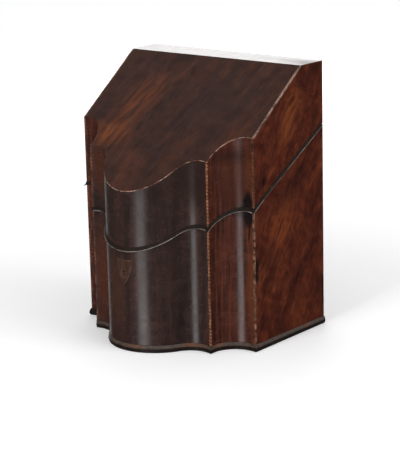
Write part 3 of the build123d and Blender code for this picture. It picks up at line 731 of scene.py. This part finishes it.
def side_of(centre: Vector, normal: Vector) -> Side:
    """Sort a board's face by the side of the box it shows on.

    Args:
        centre: The face's middle, in mm.
        normal: The face's normal.

    Returns:
        The side.
    """
    if centre.z < TOUCH:
        return Side.UNDER
    over_slope = leans(centre, SLOPE_TILT, TOP_Z, RIDGE_Y)
    if abs(over_slope) < TOUCH and normal.z > SLANTING and centre.y < RIDGE_Y + TOUCH:
        return Side.SLOPE
    if centre.z > TOP_Z - TOUCH and normal.z > SQUARE:
        return Side.TOP
    over_rim = leans(centre, PARTING_TILT, PARTING_BACK_Z, BACK_Y)
    if abs(over_rim) < 2 * LID_GAP and abs(normal.z) > SLANTING:
        return Side.RIM
    if abs(normal.z) > LEVELLED:
        return Side.INSIDE
    if abs(centre.x) > HALF_WIDTH - TOUCH and abs(normal.x) > SQUARE:
        return Side.CHEEK
    if centre.y > BACK_Y - TOUCH:
        return Side.BACK
    away, curve = off_front(centre)
    return curve if away < CURVE_TOUCH and normal.y < FORWARD else Side.INSIDE


def slot_of_node(node: str) -> str:
    """Name the record's material slot of a CAD node."""
    return next(part["material_slot"] for part in frame["record"]["subparts"] if part["node"] == node)


def place_piece(name: str, bm: BMesh, node: str, materials: list[bpy.types.Material]) -> bpy.types.Object:
    """Turn a bmesh in metres to a piece that takes a CAD node's place and rides on its body.

    Args:
        name: The piece's name.
        bm: The mesh, which is freed.
        node: The CAD node it stands for.
        materials: Its materials, in the order of its faces' indices.

    Returns:
        The piece.
    """
    mesh = bpy.data.meshes.new(name)
    bm.to_mesh(mesh)
    bm.free()
    for material in materials:
        mesh.materials.append(material)
    piece = bpy.data.objects.new(name, mesh)
    bpy.context.scene.collection.objects.link(piece)
    body = frame["nodes"][node]["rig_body"]
    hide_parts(node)
    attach(piece, body)
    LOG.info("%s rides on %s", name, body)
    return piece


def copied_board(node: str) -> BMesh:
    """Copy a CAD node's mesh and join its triangles into whole faces.

    Args:
        node: The CAD node.

    Returns:
        The mesh, in metres.
    """
    bm = bmesh.new()
    bm.from_mesh(frame["nodes"][node].data)
    bmesh.ops.remove_doubles(bm, verts=bm.verts, dist=1e-6)
    bmesh.ops.dissolve_limit(
        bm,
        angle_limit=FLAT_BEND,
        verts=bm.verts,
        edges=bm.edges,
        use_dissolve_boundaries=False,
        delimit=set(),
    )
    bm.normal_update()
    return bm


def cut(bm: BMesh, point: Vector, way: Vector, drop_outer: bool = False) -> None:
    """Cut the whole mesh along a plane.

    Args:
        bm: The mesh.
        point: A point of the plane, in mm.
        way: The plane's normal.
        drop_outer: Whether what lies beyond the plane goes.
    """
    bmesh.ops.bisect_plane(
        bm,
        geom=[*bm.verts, *bm.edges, *bm.faces],
        dist=1e-7,
        plane_co=point * MM,
        plane_no=way,
        clear_outer=drop_outer,
    )


def shade(bm: BMesh, crease: float) -> None:
    """Shade a mesh smooth, apart from its creased edges.

    Args:
        bm: The mesh.
        crease: The least bend of a creased edge, in degrees.
    """
    for face in bm.faces:
        face.smooth = True
    for edge in bm.edges:
        if len(edge.link_faces) == 2 and edge.calc_face_angle(0.0) > math.radians(crease):
            edge.smooth = False


@cache
def made(finish: Finish) -> bpy.types.Material:
    """Make a finish's material, once."""
    return finish.build()


@dataclass
class Boards:
    """The walls, panels and boards, with eased outer edges and a veneer on each face."""

    ease: float = 0.35
    worn_ease: float = 0.8
    wander: float = 0.45
    nick_scale: float = 0.16
    chafed_ease: float = 0.7
    # How far across the lid's front edge the slope's veneer runs on without the pale edge and its painted
    # highlight, and how far the edge is still brown
    no_highlight_to: float = -60.0
    brown_to: float = -24.0
    flake_heights: tuple[float, ...] = (68.0, 70.5, 73.0, 77.0, 81.5, 86.0, 90.0, 93.5, 96.5, 99.0)
    flake_setbacks: tuple[float, ...] = (1.6, 3.4, 5.4)
    flake_depth: float = 0.9
    flake_ragged: float = 0.9
    flake_scale: float = 0.31
    crease: float = 28.0

    def surfaces(self, node: str) -> list[bpy.types.Material]:
        """List the material of each side of a board, in the order of Side.

        Args:
            node: The board's CAD node.

        Returns:
            The materials.
        """
        upright = any(wall in node for wall in ("side", "cove", "bow"))
        order = {
            Side.INSIDE: UPRIGHT_PINE if upright else CARCASS_PINE,
            Side.BOW: BOW_VENEER,
            Side.COVE: COVE_VENEER,
            Side.CHEEK: CHEEK_VENEER,
            Side.BACK: BACK_BOARD,
            Side.SLOPE: SLOPE_VENEER,
            Side.TOP: TOP_VENEER,
            Side.RIM: INNER_MAHOGANY,
            Side.UNDER: CARCASS_PINE,
            Side.WORN_EDGE_AND_HIGHLIGHT: WORN_EDGE_AND_HIGHLIGHT,
            Side.CHAFED_EDGE: CHAFED_EDGE,
        }
        return [made(order[side]) for side in Side]

    def build(self, node: str) -> None:
        """Build one board over its CAD node.

        Args:
            node: The CAD node.
        """
        bm = copied_board(node)
        for face in bm.faces:
            face.material_index = side_of(face.calc_center_median() / MM, face.normal).value
        edges = [edge for edge in bm.edges if self.is_outer(edge)]
        worn = [edge for edge in edges if self.is_worn(edge)]
        chafed = [edge for edge in edges if node.startswith("case") and self.is_chafed(edge)]
        plain = [edge for edge in edges if edge not in worn and edge not in chafed]
        self.round_edges(bm, plain, self.ease)
        self.round_edges(bm, worn, self.worn_ease, Side.WORN_EDGE_AND_HIGHLIGHT, self.wander)
        self.round_edges(bm, chafed, self.chafed_ease, Side.CHAFED_EDGE)
        # Left of brown_to the front edge is brown, and left of no_highlight_to it keeps the slope's veneer,
        # without the pale painted highlight
        for face in bm.faces:
            across = face.calc_center_median().x / MM
            if face.material_index == Side.WORN_EDGE_AND_HIGHLIGHT.value and across < self.brown_to:
                no_highlight = across < self.no_highlight_to
                face.material_index = Side.SLOPE.value if no_highlight else Side.CHAFED_EDGE.value
        if node == "case_right_side":
            self.flake(bm)
        shade(bm, self.crease)
        piece = place_piece(f"{node}_dressed", bm, node, self.surfaces(node))
        weighted = piece.modifiers.new("weighted normals", "WEIGHTED_NORMAL")
        weighted.keep_sharp = True

    def flake(self, bm: BMesh) -> None:
        """Break a flake out of the veneer behind the right-hand corner string.

        Args:
            bm: The side's mesh.
        """
        face_x = HALF_WIDTH - 0.05
        front = min(v.co.y / MM for v in bm.verts if v.co.x / MM > face_x)
        for height in self.flake_heights:
            cut(bm, Vector((0.0, 0.0, height)), UP)
        for setback in self.flake_setbacks:
            cut(bm, Vector((0.0, front + setback, 0.0)), Vector((0.0, 1.0, 0.0)))
        low, high = self.flake_heights[0], self.flake_heights[-1]
        middle, half = (low + high) / 2, (high - low) / 2
        moved = set()
        for vert in bm.verts:
            place = vert.co / MM
            if place.x < face_x or not low < place.z < high:
                continue
            bulge = 1.0 - ((place.z - middle) / half) ** 2
            ragged = self.flake_ragged * noise.noise(place * self.flake_scale)
            if place.y - front < self.flake_setbacks[-1] * bulge + ragged:
                vert.co.x -= self.flake_depth * MM
                moved.add(vert)
        faces = {face for vert in moved for face in vert.link_faces}
        bmesh.ops.triangulate(bm, faces=list(faces))

    @staticmethod
    def is_outer(edge: Edge) -> bool:
        """Tell whether an edge is a sharp outer one between two faces that show.

        Args:
            edge: The edge.

        Returns:
            Whether it is eased.
        """
        if len(edge.link_faces) != 2 or not edge.is_convex:
            return False
        inside = any(face.material_index == Side.INSIDE.value for face in edge.link_faces)
        return not inside and edge.calc_face_angle(0.0) > CORNER_BEND

    @staticmethod
    def is_worn(edge: Edge) -> bool:
        """Tell whether an edge is between the slope and the front, where hands have rubbed it and a painted
        highlight runs along it.
        """
        sides = {face.material_index for face in edge.link_faces}
        return Side.SLOPE.value in sides and bool(sides & {Side.BOW.value, Side.COVE.value})

    @staticmethod
    def is_chafed(edge: Edge) -> bool:
        """Tell whether an edge is the rim of a side, which the lid has chafed."""
        return {Side.RIM.value, Side.CHEEK.value} <= {face.material_index for face in edge.link_faces}

    def round_edges(
        self, bm: BMesh, edges: list[Edge], width: float, side: Side | None = None, wander: float = 0.0
    ) -> None:
        """Ease a set of edges.

        Args:
            bm: The mesh.
            edges: The edges. Those that an earlier easing has used up are left out.
            width: How far the easing reaches, in mm.
            side: The surface it gets, or None to keep its neighbours'.
            wander: How deep its nicks go, in mm.
        """
        edges = [edge for edge in edges if edge.is_valid]
        if not edges:
            return
        made = bmesh.ops.bevel(
            bm,
            geom=edges,
            offset=width * MM,
            offset_type="OFFSET",
            segments=2,
            profile=0.5,
            affect="EDGES",
            clamp_overlap=True,
            material=-1,
        )
        if side is None:
            return
        for face in made["faces"]:
            face.material_index = side.value
        for vert in {vert for face in made["faces"] for vert in face.verts}:
            depth = noise.noise(vert.co / MM * self.nick_scale + NOISE_SHIFT)
            vert.co -= vert.normal * max(0.0, depth) * wander * MM


@dataclass
class Stringing:
    """The chequered strips up the front edges: light blocks parted by slanting dark ones."""

    pitch: float = 3.7
    dark_share: float = 0.3
    slant: float = 0.5

    def build(self, node: str) -> None:
        """Cut one strip into its blocks.

        Args:
            node: The CAD node of the strip.
        """
        bm = copied_board(node)
        low, high = (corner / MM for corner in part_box(node))
        way = Vector((self.slant, 0.0, 1.0)).normalized()
        middle = (low + high) / 2
        light = self.light_wood(node)
        plain = light in (RUBBED_STRING, PALE_BOXWOOD)
        count = 0 if plain else int((high.z - low.z) / self.pitch) + 3
        start = math.floor(low.z / self.pitch) * self.pitch
        for step in range(count):
            for part in (0.0, self.dark_share):
                height = start + (step + part) * self.pitch
                cut(bm, Vector((middle.x, middle.y, height)), way)
        for face in bm.faces:
            centre = face.calc_center_median() / MM
            along = centre.z + (centre.x - middle.x) * self.slant - start
            face.material_index = int(count > 0 and (along / self.pitch) % 1.0 < self.dark_share)
        woods = [made(finish) for finish in (light, STAINED_STRING)]
        place_piece(f"{node}_chequered", bm, node, woods)

    @staticmethod
    def light_wood(node: str) -> PlainWood:
        """Choose the light wood of a strip by how much it is rubbed or grimed.

        Args:
            node: The strip's CAD node.

        Returns:
            The finish.
        """
        if "slope" in node:
            return RUBBED_STRING
        if "left" in node or node == "lid_right_corner_stringing":
            return GRIMED_BOXWOOD
        return PALE_BOXWOOD if "corner" in node else BOXWOOD


MIRRORED = Matrix(((-1.0, 0.0), (0.0, 1.0)))


@dataclass
class Moulding:
    """A moulding planed to a smooth section and mitred round the front and sides."""

    prefix: str
    section: list[Pair]
    # The section's points whose faces get the rubbed wood with its painted sheen, and that wood
    sheen_and_rubbed: range
    sheen_and_rubbed_wood: PlainWood
    sloped: bool
    side_lift: float = 0.0
    lift_run: float = 24.0
    overrun: float = 12.0
    step: float = math.radians(4)
    side_parts: int = 12
    slack: float = 0.05
    crease: float = 35.0
    dent_scale: Triple = (0.13, 0.13, 0.4)
    dent_level: float = 0.22
    dent_depth: float = 0.35
    broken_reach: float = 6.0
    broken_stub: float = 0.35

    def lengths(self) -> dict[str, Arcs]:
        """Give the arcs of each curved length as centre, start and end in plan.

        Returns:
            The arcs by the length's name.
        """
        bow = [
            (HOLLOW_CENTRE, ARRIS, TURN),
            (BOW_CENTRE, TURN, MIRRORED @ TURN),
            (MIRRORED @ HOLLOW_CENTRE, MIRRORED @ TURN, MIRRORED @ ARRIS),
        ]
        return {
            "bow": bow,
            "right_cove": [(COVE_CENTRE, CORNER, ARRIS)],
            "left_cove": [(MIRRORED @ COVE_CENTRE, MIRRORED @ ARRIS, MIRRORED @ CORNER)],
        }

    def ends(self, name: str) -> list[tuple[Vector, Vector]]:
        """Give the mitre planes of a length.

        Args:
            name: The length's name.

        Returns:
            A plan point and the way out of the length for each mitre.
        """
        arris_cut = Vector((-ARRIS_OUT.y, ARRIS_OUT.x))
        corner_cut = Vector((-CORNER_OUT.y, CORNER_OUT.x))
        if name == "bow":
            return [(ARRIS, arris_cut), (MIRRORED @ ARRIS, MIRRORED @ arris_cut)]
        right = {
            "right_cove": [(ARRIS, -arris_cut), (CORNER, corner_cut)],
            "right_side": [(CORNER, -corner_cut)],
        }
        if name in right:
            return right[name]
        return [(MIRRORED @ point, MIRRORED @ way) for point, way in right[name.replace("left", "right")]]

    def ring(self, bm: BMesh, point: Vector, outward: Vector) -> list[Edge]:
        """Draw the section at a plan point.

        Args:
            bm: The mesh.
            point: Where the section's wall line stands.
            outward: The way out of the wall.

        Returns:
            The section's edges.
        """
        verts = []
        for out, up in self.section:
            plan = point + outward * out
            verts.append(bm.verts.new(Vector((plan.x, plan.y, up)) * MM))
        return [bm.edges.new((verts[i - 1], verts[i])) for i in range(len(verts))]

    @staticmethod
    def pull(bm: BMesh, edges: list[Edge], way: Vector) -> list[Edge]:
        """Draw edges out along a plan vector.

        Args:
            bm: The mesh.
            edges: The edges.
            way: How far and where to, in mm.

        Returns:
            The new end's edges.
        """
        made = bmesh.ops.extrude_edge_only(bm, edges=edges)["geom"]
        verts = [item for item in made if isinstance(item, bmesh.types.BMVert)]
        bmesh.ops.translate(bm, verts=verts, vec=Vector((way.x, way.y, 0.0)) * MM)
        ends = set(verts)
        return [item for item in made if isinstance(item, Edge) and set(item.verts) <= ends]

    def curved(self, arcs: Arcs) -> BMesh:
        """Run the section round a chain of arcs, with a straight lead at each end.

        Args:
            arcs: Each arc's centre, start and end in plan.

        Returns:
            The run, open at its ends.
        """
        bm = bmesh.new()
        edges: list[Edge] = []
        for index, (centre, start, end) in enumerate(arcs):
            first = (start - centre).normalized()
            spin = -first.angle_signed((end - centre).normalized())
            hollow = centre.y < start.y and centre is not BOW_CENTRE
            tangent = Vector((-first.y, first.x)) * math.copysign(1.0, spin)
            if index == 0:
                edges = self.ring(bm, start - tangent * self.overrun, -first if hollow else first)
                edges = self.pull(bm, edges, tangent * self.overrun)
            made = bmesh.ops.spin(
                bm,
                geom=[*edges, *{v for e in edges for v in e.verts}],
                cent=Vector((centre.x, centre.y, 0.0)) * MM,
                axis=(0.0, 0.0, 1.0),
                angle=spin,
                steps=max(3, round(abs(spin) / self.step)),
                use_duplicate=False,
            )
            edges = [item for item in made["geom_last"] if isinstance(item, Edge)]
        last = (arcs[-1][2] - arcs[-1][0]).normalized()
        self.pull(bm, edges, Vector((-last.y, last.x)) * math.copysign(1.0, spin) * self.overrun)
        return bm

    def straight(self, name: str) -> BMesh:
        """Run the section along a side, from the back to beyond the front corner.

        Args:
            name: The length's name.

        Returns:
            The run, open at its ends.
        """
        sign = 1.0 if "right" in name else -1.0
        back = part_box(f"{self.prefix}_{name}")[1].y / MM
        bm = bmesh.new()
        edges = self.ring(bm, Vector((sign * HALF_WIDTH, back)), Vector((sign, 0.0)))
        length = back - CORNER.y
        for part in range(self.side_parts):
            edges = self.pull(bm, edges, Vector((0.0, -length / self.side_parts)))
        self.pull(bm, edges, Vector((0.0, -self.overrun)))
        return bm

    def build(self, name: str) -> None:
        """Build one length, mitre it and lay it on its level or along the lid's rim.

        Args:
            name: The length's name after the prefix.
        """
        arcs = self.lengths().get(name)
        bm = self.curved(arcs) if arcs else self.straight(name)
        for point, way in self.ends(name):
            cut(bm, point.to_3d(), way.to_3d(), drop_outer=True)
        bmesh.ops.holes_fill(bm, edges=[e for e in bm.edges if len(e.link_faces) == 1], sides=0)
        bmesh.ops.recalc_face_normals(bm, faces=bm.faces)
        self.rub(bm)
        self.break_tip(bm)
        if name.endswith("side"):
            self.lift(bm)
        if self.sloped:
            rise = math.tan(PARTING_TILT)
            level = (PARTING_BACK_Z - BACK_Y * rise + LID_GAP / math.cos(PARTING_TILT)) * MM
            shear = Matrix(((1, 0, 0, 0), (0, 1, 0, 0), (0, rise, 1, level), (0, 0, 0, 1)))
            bmesh.ops.transform(bm, matrix=shear, verts=bm.verts)
        shade(bm, self.crease)
        node = f"{self.prefix}_{name}"
        woods = [made(finish) for finish in (EBONISED, self.sheen_and_rubbed_wood)]
        place_piece(f"{node}_run", bm, node, woods)

    def rub(self, bm: BMesh) -> None:
        """Mark the rubbed part of the section, which carries the painted sheen, and dent it lightly.

        Args:
            bm: The moulding's mesh, still level.
        """
        outs, heights = zip(*(self.section[index] for index in self.sheen_and_rubbed))
        low, high = min(heights) - self.slack, max(heights) + self.slack
        for face in bm.faces:
            centre = face.calc_center_median() / MM
            proud = self.outside(centre) >= min(outs) - self.slack
            face.material_index = int(proud and low <= centre.z <= high)
        for vert in bm.verts:
            place = vert.co / MM
            if self.outside(place) < min(outs):
                continue
            dent = noise.noise(place * Vector(self.dent_scale) + NOISE_SHIFT)
            if dent > self.dent_level:
                push = (dent - self.dent_level) * self.dent_depth * MM
                vert.co.z += push if self.sloped else -push

    def lift(self, bm: BMesh) -> None:
        """Lift a side's lip away from its foot, more and more behind the corner.

        Args:
            bm: The side's mesh, still level.
        """
        for vert in bm.verts:
            behind = (vert.co.y / MM - CORNER.y) / self.lift_run
            if vert.co.z > TOUCH * MM:
                vert.co.z += self.side_lift * MM * min(1.0, max(0.0, behind))

    def break_tip(self, bm: BMesh) -> None:
        """Break the mitre's tip off flush at the left arris.

        Args:
            bm: The moulding's mesh.
        """
        arris = Vector((-ARRIS.x, ARRIS.y))
        out = Vector((-ARRIS_OUT.x, ARRIS_OUT.y))
        for vert in bm.verts:
            plan = vert.co.to_2d() / MM
            near = (plan - arris).length
            proud = (plan - arris).dot(out) - self.broken_stub
            if near < self.broken_reach and proud > 0.0:
                plan -= out * proud * min(1.0, 2.0 * (1.0 - near / self.broken_reach))
                vert.co.x, vert.co.y = plan * MM

    @staticmethod
    def outside(point: Vector) -> float:
        """How far a point stands out of the case's plan.

        Args:
            point: The point, in mm.

        Returns:
            The distance, in mm.
        """
        plan = Vector((abs(point.x), point.y))
        beside = plan.x > HALF_WIDTH and plan.y > CORNER.y - MITRE_REACH
        return plan.x - HALF_WIDTH if beside else off_front(point)[0]


def arc_points(start: Pair, middle: Pair, end: Pair, count: int) -> list[Pair]:
    """Sample a shallow curve through three section points.

    Args:
        start: First point.
        middle: Point on the curve halfway along it.
        end: Last point.
        count: Number of flats.

    Returns:
        The points, both ends included.
    """
    points = []
    control = [2 * m - (s + e) / 2 for s, m, e in zip(start, middle, end)]
    for step in range(count + 1):
        t = step / count
        first = (1 - t) ** 2
        second = 2 * t * (1 - t)
        third = t**2
        points.append(tuple(first * s + second * c + third * e for s, c, e in zip(start, control, end)))
    return points


def lid_section() -> list[Pair]:
    """Section of the lid's moulding: a shallow hollow that flares to a thin lip over a dark undercut."""
    hollow = arc_points((1.8, 0.95), (0.95, 1.6), (0.3, 3.8), 7)
    lip = [(0.4, 0.15), (1.75, 0.2), (1.95, 0.35), (1.95, 0.8)]
    return [(-0.4, 0.0), (0.3, 0.0), *lip, *hollow, (-0.4, 3.8)]


def base_section() -> list[Pair]:
    """Section of the base moulding: a slanting face over a dark foot, with a rounded top edge."""
    low = arc_points((1.2, 1.6), (1.75, 2.2), (1.8, 3.0), 4)
    high = arc_points((1.8, 3.0), (1.5, 5.6), (0.95, 7.0), 4)
    top = arc_points((0.95, 7.0), (0.8, 7.7), (0.3, 7.9), 3)
    return [(-0.4, 0.3), (1.05, 0.3), (1.2, 0.45), *low, *high[1:], *top[1:], (-0.4, 7.9)]


@dataclass
class Fittings:
    """Hinges, screws, lock, dividers and the other CAD pieces that keep their own shape."""

    shield_line: float = 1.1
    shown_within: float = 0.15

    def finish_for(self, node: str) -> Finish:
        """Choose a node's finish by its record slot.

        Args:
            node: The CAD node.

        Returns:
            The finish.
        """
        by_slot = {
            "brass": BRASS,
            "iron": IRON,
            "interior_mahogany": INNER_MAHOGANY,
            "shield_wood": SHIELD_WOOD,
        }
        return by_slot.get(slot_of_node(node), CARCASS_PINE)

    def shield(self) -> None:
        """Dress the keyhole shield with a pale line round its edge."""
        node = "keyhole_shield"
        bm = copied_board(node)
        shown = [face for face in bm.faces if self.is_shown(face)]
        line = self.shield_line * MM
        rim = bmesh.ops.inset_region(bm, faces=shown, thickness=line, use_boundary=True, use_even_offset=True)
        for face in rim["faces"]:
            face.material_index = 1
        woods = [made(finish) for finish in (SHIELD_WOOD, SHIELD_LINE)]
        place_piece(f"{node}_lined", bm, node, woods)

    def is_shown(self, face: bmesh.types.BMFace) -> bool:
        """Tell whether a face of the shield lies on the front."""
        return off_front(face.calc_center_median() / MM)[0] < self.shown_within

    def dress(self, node: str) -> None:
        """Give one CAD node its finish.

        Args:
            node: The CAD node.
        """
        piece = frame["nodes"][node]
        piece.data.materials.clear()
        piece.data.materials.append(made(self.finish_for(node)))
        LOG.info("%s keeps its CAD shape", node)


def toward(azimuth: float, elevation: float) -> Vector:
    """Give the way from the box to a place round it.

    Args:
        azimuth: Direction in radians, 0 in front of the box and a quarter turn at its right.
        elevation: Height over the table in radians.

    Returns:
        The unit vector.
    """
    flat = math.cos(elevation)
    return Vector((math.sin(azimuth) * flat, -math.cos(azimuth) * flat, math.sin(elevation)))


@dataclass
class Studio:
    """Plain pale floor, soft lamps and the photograph's camera."""

    azimuth: float = math.radians(39.2)
    elevation: float = math.radians(14.66)
    roll: float = -0.0248
    distance: float = 1853.8
    focus: Triple = (25.2, -2.0, 107.6)
    focal_pixels: float = 1754.7
    picture_height: float = 469.0
    sensor: float = 36.0
    sky: float = 0.5
    floor_glow: Pair = (0.17, 0.5)
    room_low: float = 0.03
    room_high: float = 0.35
    lamp_focus: Triple = (0.0, 0.0, 0.13)
    # Each lamp's name, azimuth and elevation in degrees, distance and size in metres, and watts
    lamps: tuple = (
        ("front_strip", 4.0, 34.0, 1.3, (0.34, 1.1), 9.0),
        ("right_fill", 96.0, 38.0, 1.6, (1.1, 1.1), 10.0),
        ("back_sheet", 219.6, 17.0, 1.9, (1.3, 0.6), 9.0),
    )
    # Sheets that only the varnish mirrors: azimuth, elevation, half sizes in degrees, and brightness
    sheets: tuple = (
        (4.5, -27.0, (14.0, 18.5), 2.6),
        (221.0, 20.0, (40.0, 26.0), 1.4),
        (219.2, -14.0, (40.0, 20.0), 0.45),
        (-86.0, 52.0, (80.0, 50.0), -0.32),
    )

    def camera(self) -> None:
        """Stand the camera where the photograph was taken."""
        back = toward(self.azimuth, self.elevation)
        right = (-back).cross(UP).normalized()
        up = right.cross(-back)
        rolled_right = right * math.cos(self.roll) + up * math.sin(self.roll)
        rolled_up = up * math.cos(self.roll) - right * math.sin(self.roll)
        data = bpy.data.cameras.new("camera")
        data.sensor_width = self.sensor
        data.lens = self.focal_pixels * self.sensor / self.picture_height
        data.clip_start = 0.05
        camera = bpy.data.objects.new("camera", data)
        turned = Matrix((rolled_right, rolled_up, back)).transposed().to_4x4()
        turned.translation = (Vector(self.focus) + back * self.distance) * MM
        camera.matrix_world = turned
        bpy.context.scene.collection.objects.link(camera)
        bpy.context.scene.camera = camera

    def hang_lamps(self) -> None:
        """Hang the soft lamps, which face the box."""
        for name, azimuth, elevation, distance, size, power in self.lamps:
            data = bpy.data.lights.new(name, "AREA")
            data.shape = "RECTANGLE"
            data.size, data.size_y = size
            data.energy = power
            lamp = bpy.data.objects.new(name, data)
            way = toward(math.radians(azimuth), math.radians(elevation))
            lamp.location = way * distance + Vector(self.lamp_focus)
            lamp.rotation_euler = way.to_track_quat("Z", "Y").to_euler()
            lamp.visible_camera = False
            lamp.visible_glossy = False
            bpy.context.scene.collection.objects.link(lamp)

    @staticmethod
    def sheet(tree: Tree, way: Socket, azimuth: float, elevation: float, reach: Pair) -> Socket:
        """Draw one soft bright sheet that only the varnish mirrors.

        Args:
            tree: The world's tree.
            way: The direction looked at.
            azimuth: The sheet's middle round the box, in degrees, 0 in front and 90 at its right.
            elevation: Its height over the table, in degrees.
            reach: Half its width and half its height, in degrees.

        Returns:
            1 in the sheet's middle and 0 outside it.
        """
        turn = {"Vector": way, "Angle": math.radians(-azimuth)}
        turned = add_node(tree, "VectorRotate", turn, rotation_type="Z_AXIS").outputs[0]
        parts = add_node(tree, "SeparateXYZ", {0: turned})
        ahead = add_node(tree, "Math", {0: parts.outputs["Y"], 1: -1.0}, operation="MULTIPLY").outputs[0]
        across = add_node(tree, "Math", {0: parts.outputs["X"], 1: ahead}, operation="ARCTAN2").outputs[0]
        height = add_node(tree, "Math", {0: parts.outputs["Z"]}, operation="ARCSINE").outputs[0]
        lift = {0: height, 1: math.radians(elevation)}
        upward = add_node(tree, "Math", lift, operation="SUBTRACT").outputs[0]
        shares = []
        for angle, half in zip((across, upward), reach):
            away = add_node(tree, "Math", {0: angle}, operation="ABSOLUTE").outputs[0]
            fading = {"Value": away, "From Min": math.radians(half), "From Max": math.radians(half / 2)}
            shares.append(add_node(tree, "MapRange", fading, interpolation_type="SMOOTHSTEP").outputs[0])
        return add_node(tree, "Math", {0: shares[0], 1: shares[1]}, operation="MULTIPLY").outputs[0]

    def world(self) -> None:
        """Light the scene with a plain white sky and give the varnish a dim room with sheets to mirror."""
        world = bpy.data.worlds.new("white studio")
        bpy.context.scene.world = world
        world.use_nodes = True
        tree = world.node_tree
        tree.nodes.clear()
        rays = add_node(tree, "LightPath").outputs
        way = add_node(tree, "TexCoord").outputs["Object"]
        height = add_node(tree, "SeparateXYZ", {0: way}).outputs["Z"]
        room = {"Value": height, "From Min": -0.1, "From Max": 0.25}
        room |= {"To Min": self.room_low, "To Max": self.room_high}
        mirrored = add_node(tree, "MapRange", room).outputs[0]
        for azimuth, elevation, reach, level in self.sheets:
            lit = {0: self.sheet(tree, way, azimuth, elevation, reach), 1: level, 2: mirrored}
            mirrored = add_node(tree, "Math", lit, operation="MULTIPLY_ADD").outputs[0]
        plain = add_node(tree, "MapRange", {"Value": rays["Is Camera Ray"], "To Min": self.sky}).outputs[0]
        level = add_node(tree, "Mix", {"Factor": rays["Is Glossy Ray"], 2: plain, 3: mirrored}).outputs[0]
        sky = add_node(tree, "Background", {"Color": (1.0, 1.0, 1.0, 1.0), "Strength": level})
        add_node(tree, "OutputWorld", {"Surface": sky.outputs[0]})

    def floor(self) -> None:
        """Lay a pale table top under the box."""
        bm = bmesh.new()
        bmesh.ops.create_grid(bm, x_segments=1, y_segments=1, size=6.0)
        mesh = bpy.data.meshes.new("table_top")
        bm.to_mesh(mesh)
        bm.free()
        table = bpy.data.objects.new("table_top", mesh)
        material, tree, place = start_material("white_paper_sweep")
        rays = add_node(tree, "LightPath").outputs
        away = add_node(tree, "VectorMath", {0: place}, operation="LENGTH").outputs["Value"]
        fading = {"Value": away, "From Min": 0.15, "From Max": 1.5}
        fading |= {"To Min": self.floor_glow[0], "To Max": self.floor_glow[1]}
        glow = add_node(tree, "MapRange", fading).outputs[0]
        seen = add_node(tree, "Math", {0: rays["Is Camera Ray"], 1: glow}, operation="MULTIPLY").outputs[0]
        finish_material(
            tree,
            {
                "Base Color": (0.86, 0.86, 0.87, 1.0),
                "Roughness": 0.6,
                "Specular IOR Level": 0.2,
                "Emission Color": (1.0, 1.0, 1.0, 1.0),
                "Emission Strength": seen,
            },
        )
        mesh.materials.append(material)
        table.visible_glossy = False
        bpy.context.scene.collection.objects.link(table)

    def build(self) -> None:
        """Set the whole studio."""
        self.camera()
        self.world()
        self.floor()
        self.hang_lamps()
        bpy.context.scene.view_settings.view_transform = "Standard"


def main() -> None:
    """Build every part of the picture in order."""
    logging.basicConfig(level=logging.INFO, format="%(message)s")
    boards = Boards()
    strings = Stringing()
    base = Moulding("base_moulding", base_section(), range(8, 15), BASE_FACE_AND_SHEEN, False)
    rim = Moulding("lid_moulding", lid_section(), range(4, 7), RUBBED_EDGE_AND_HIGHLIGHT, True, side_lift=1.5)
    fittings = Fittings()
    walls = ("back", "bow_front", "left_cove", "right_cove", "left_side", "right_side")
    dressed = [f"{part}_{wall}" for part in ("case", "lid") for wall in walls]
    dressed += ["base_board", "lid_top_board", "lid_slope_panel"]
    for node in dressed:
        boards.build(node)
    for node in [name for name in frame["nodes"] if "stringing" in name]:
        strings.build(node)
        dressed.append(node)
    for moulding in (base, rim):
        for name in ("bow", "left_cove", "left_side", "right_cove", "right_side"):
            moulding.build(name)
            dressed.append(f"{moulding.prefix}_{name}")
    fittings.shield()
    dressed.append("keyhole_shield")
    for node in frame["nodes"]:
        if node not in dressed:
            fittings.dress(node)
    Studio().build()


if __name__ == "__main__":
    main()
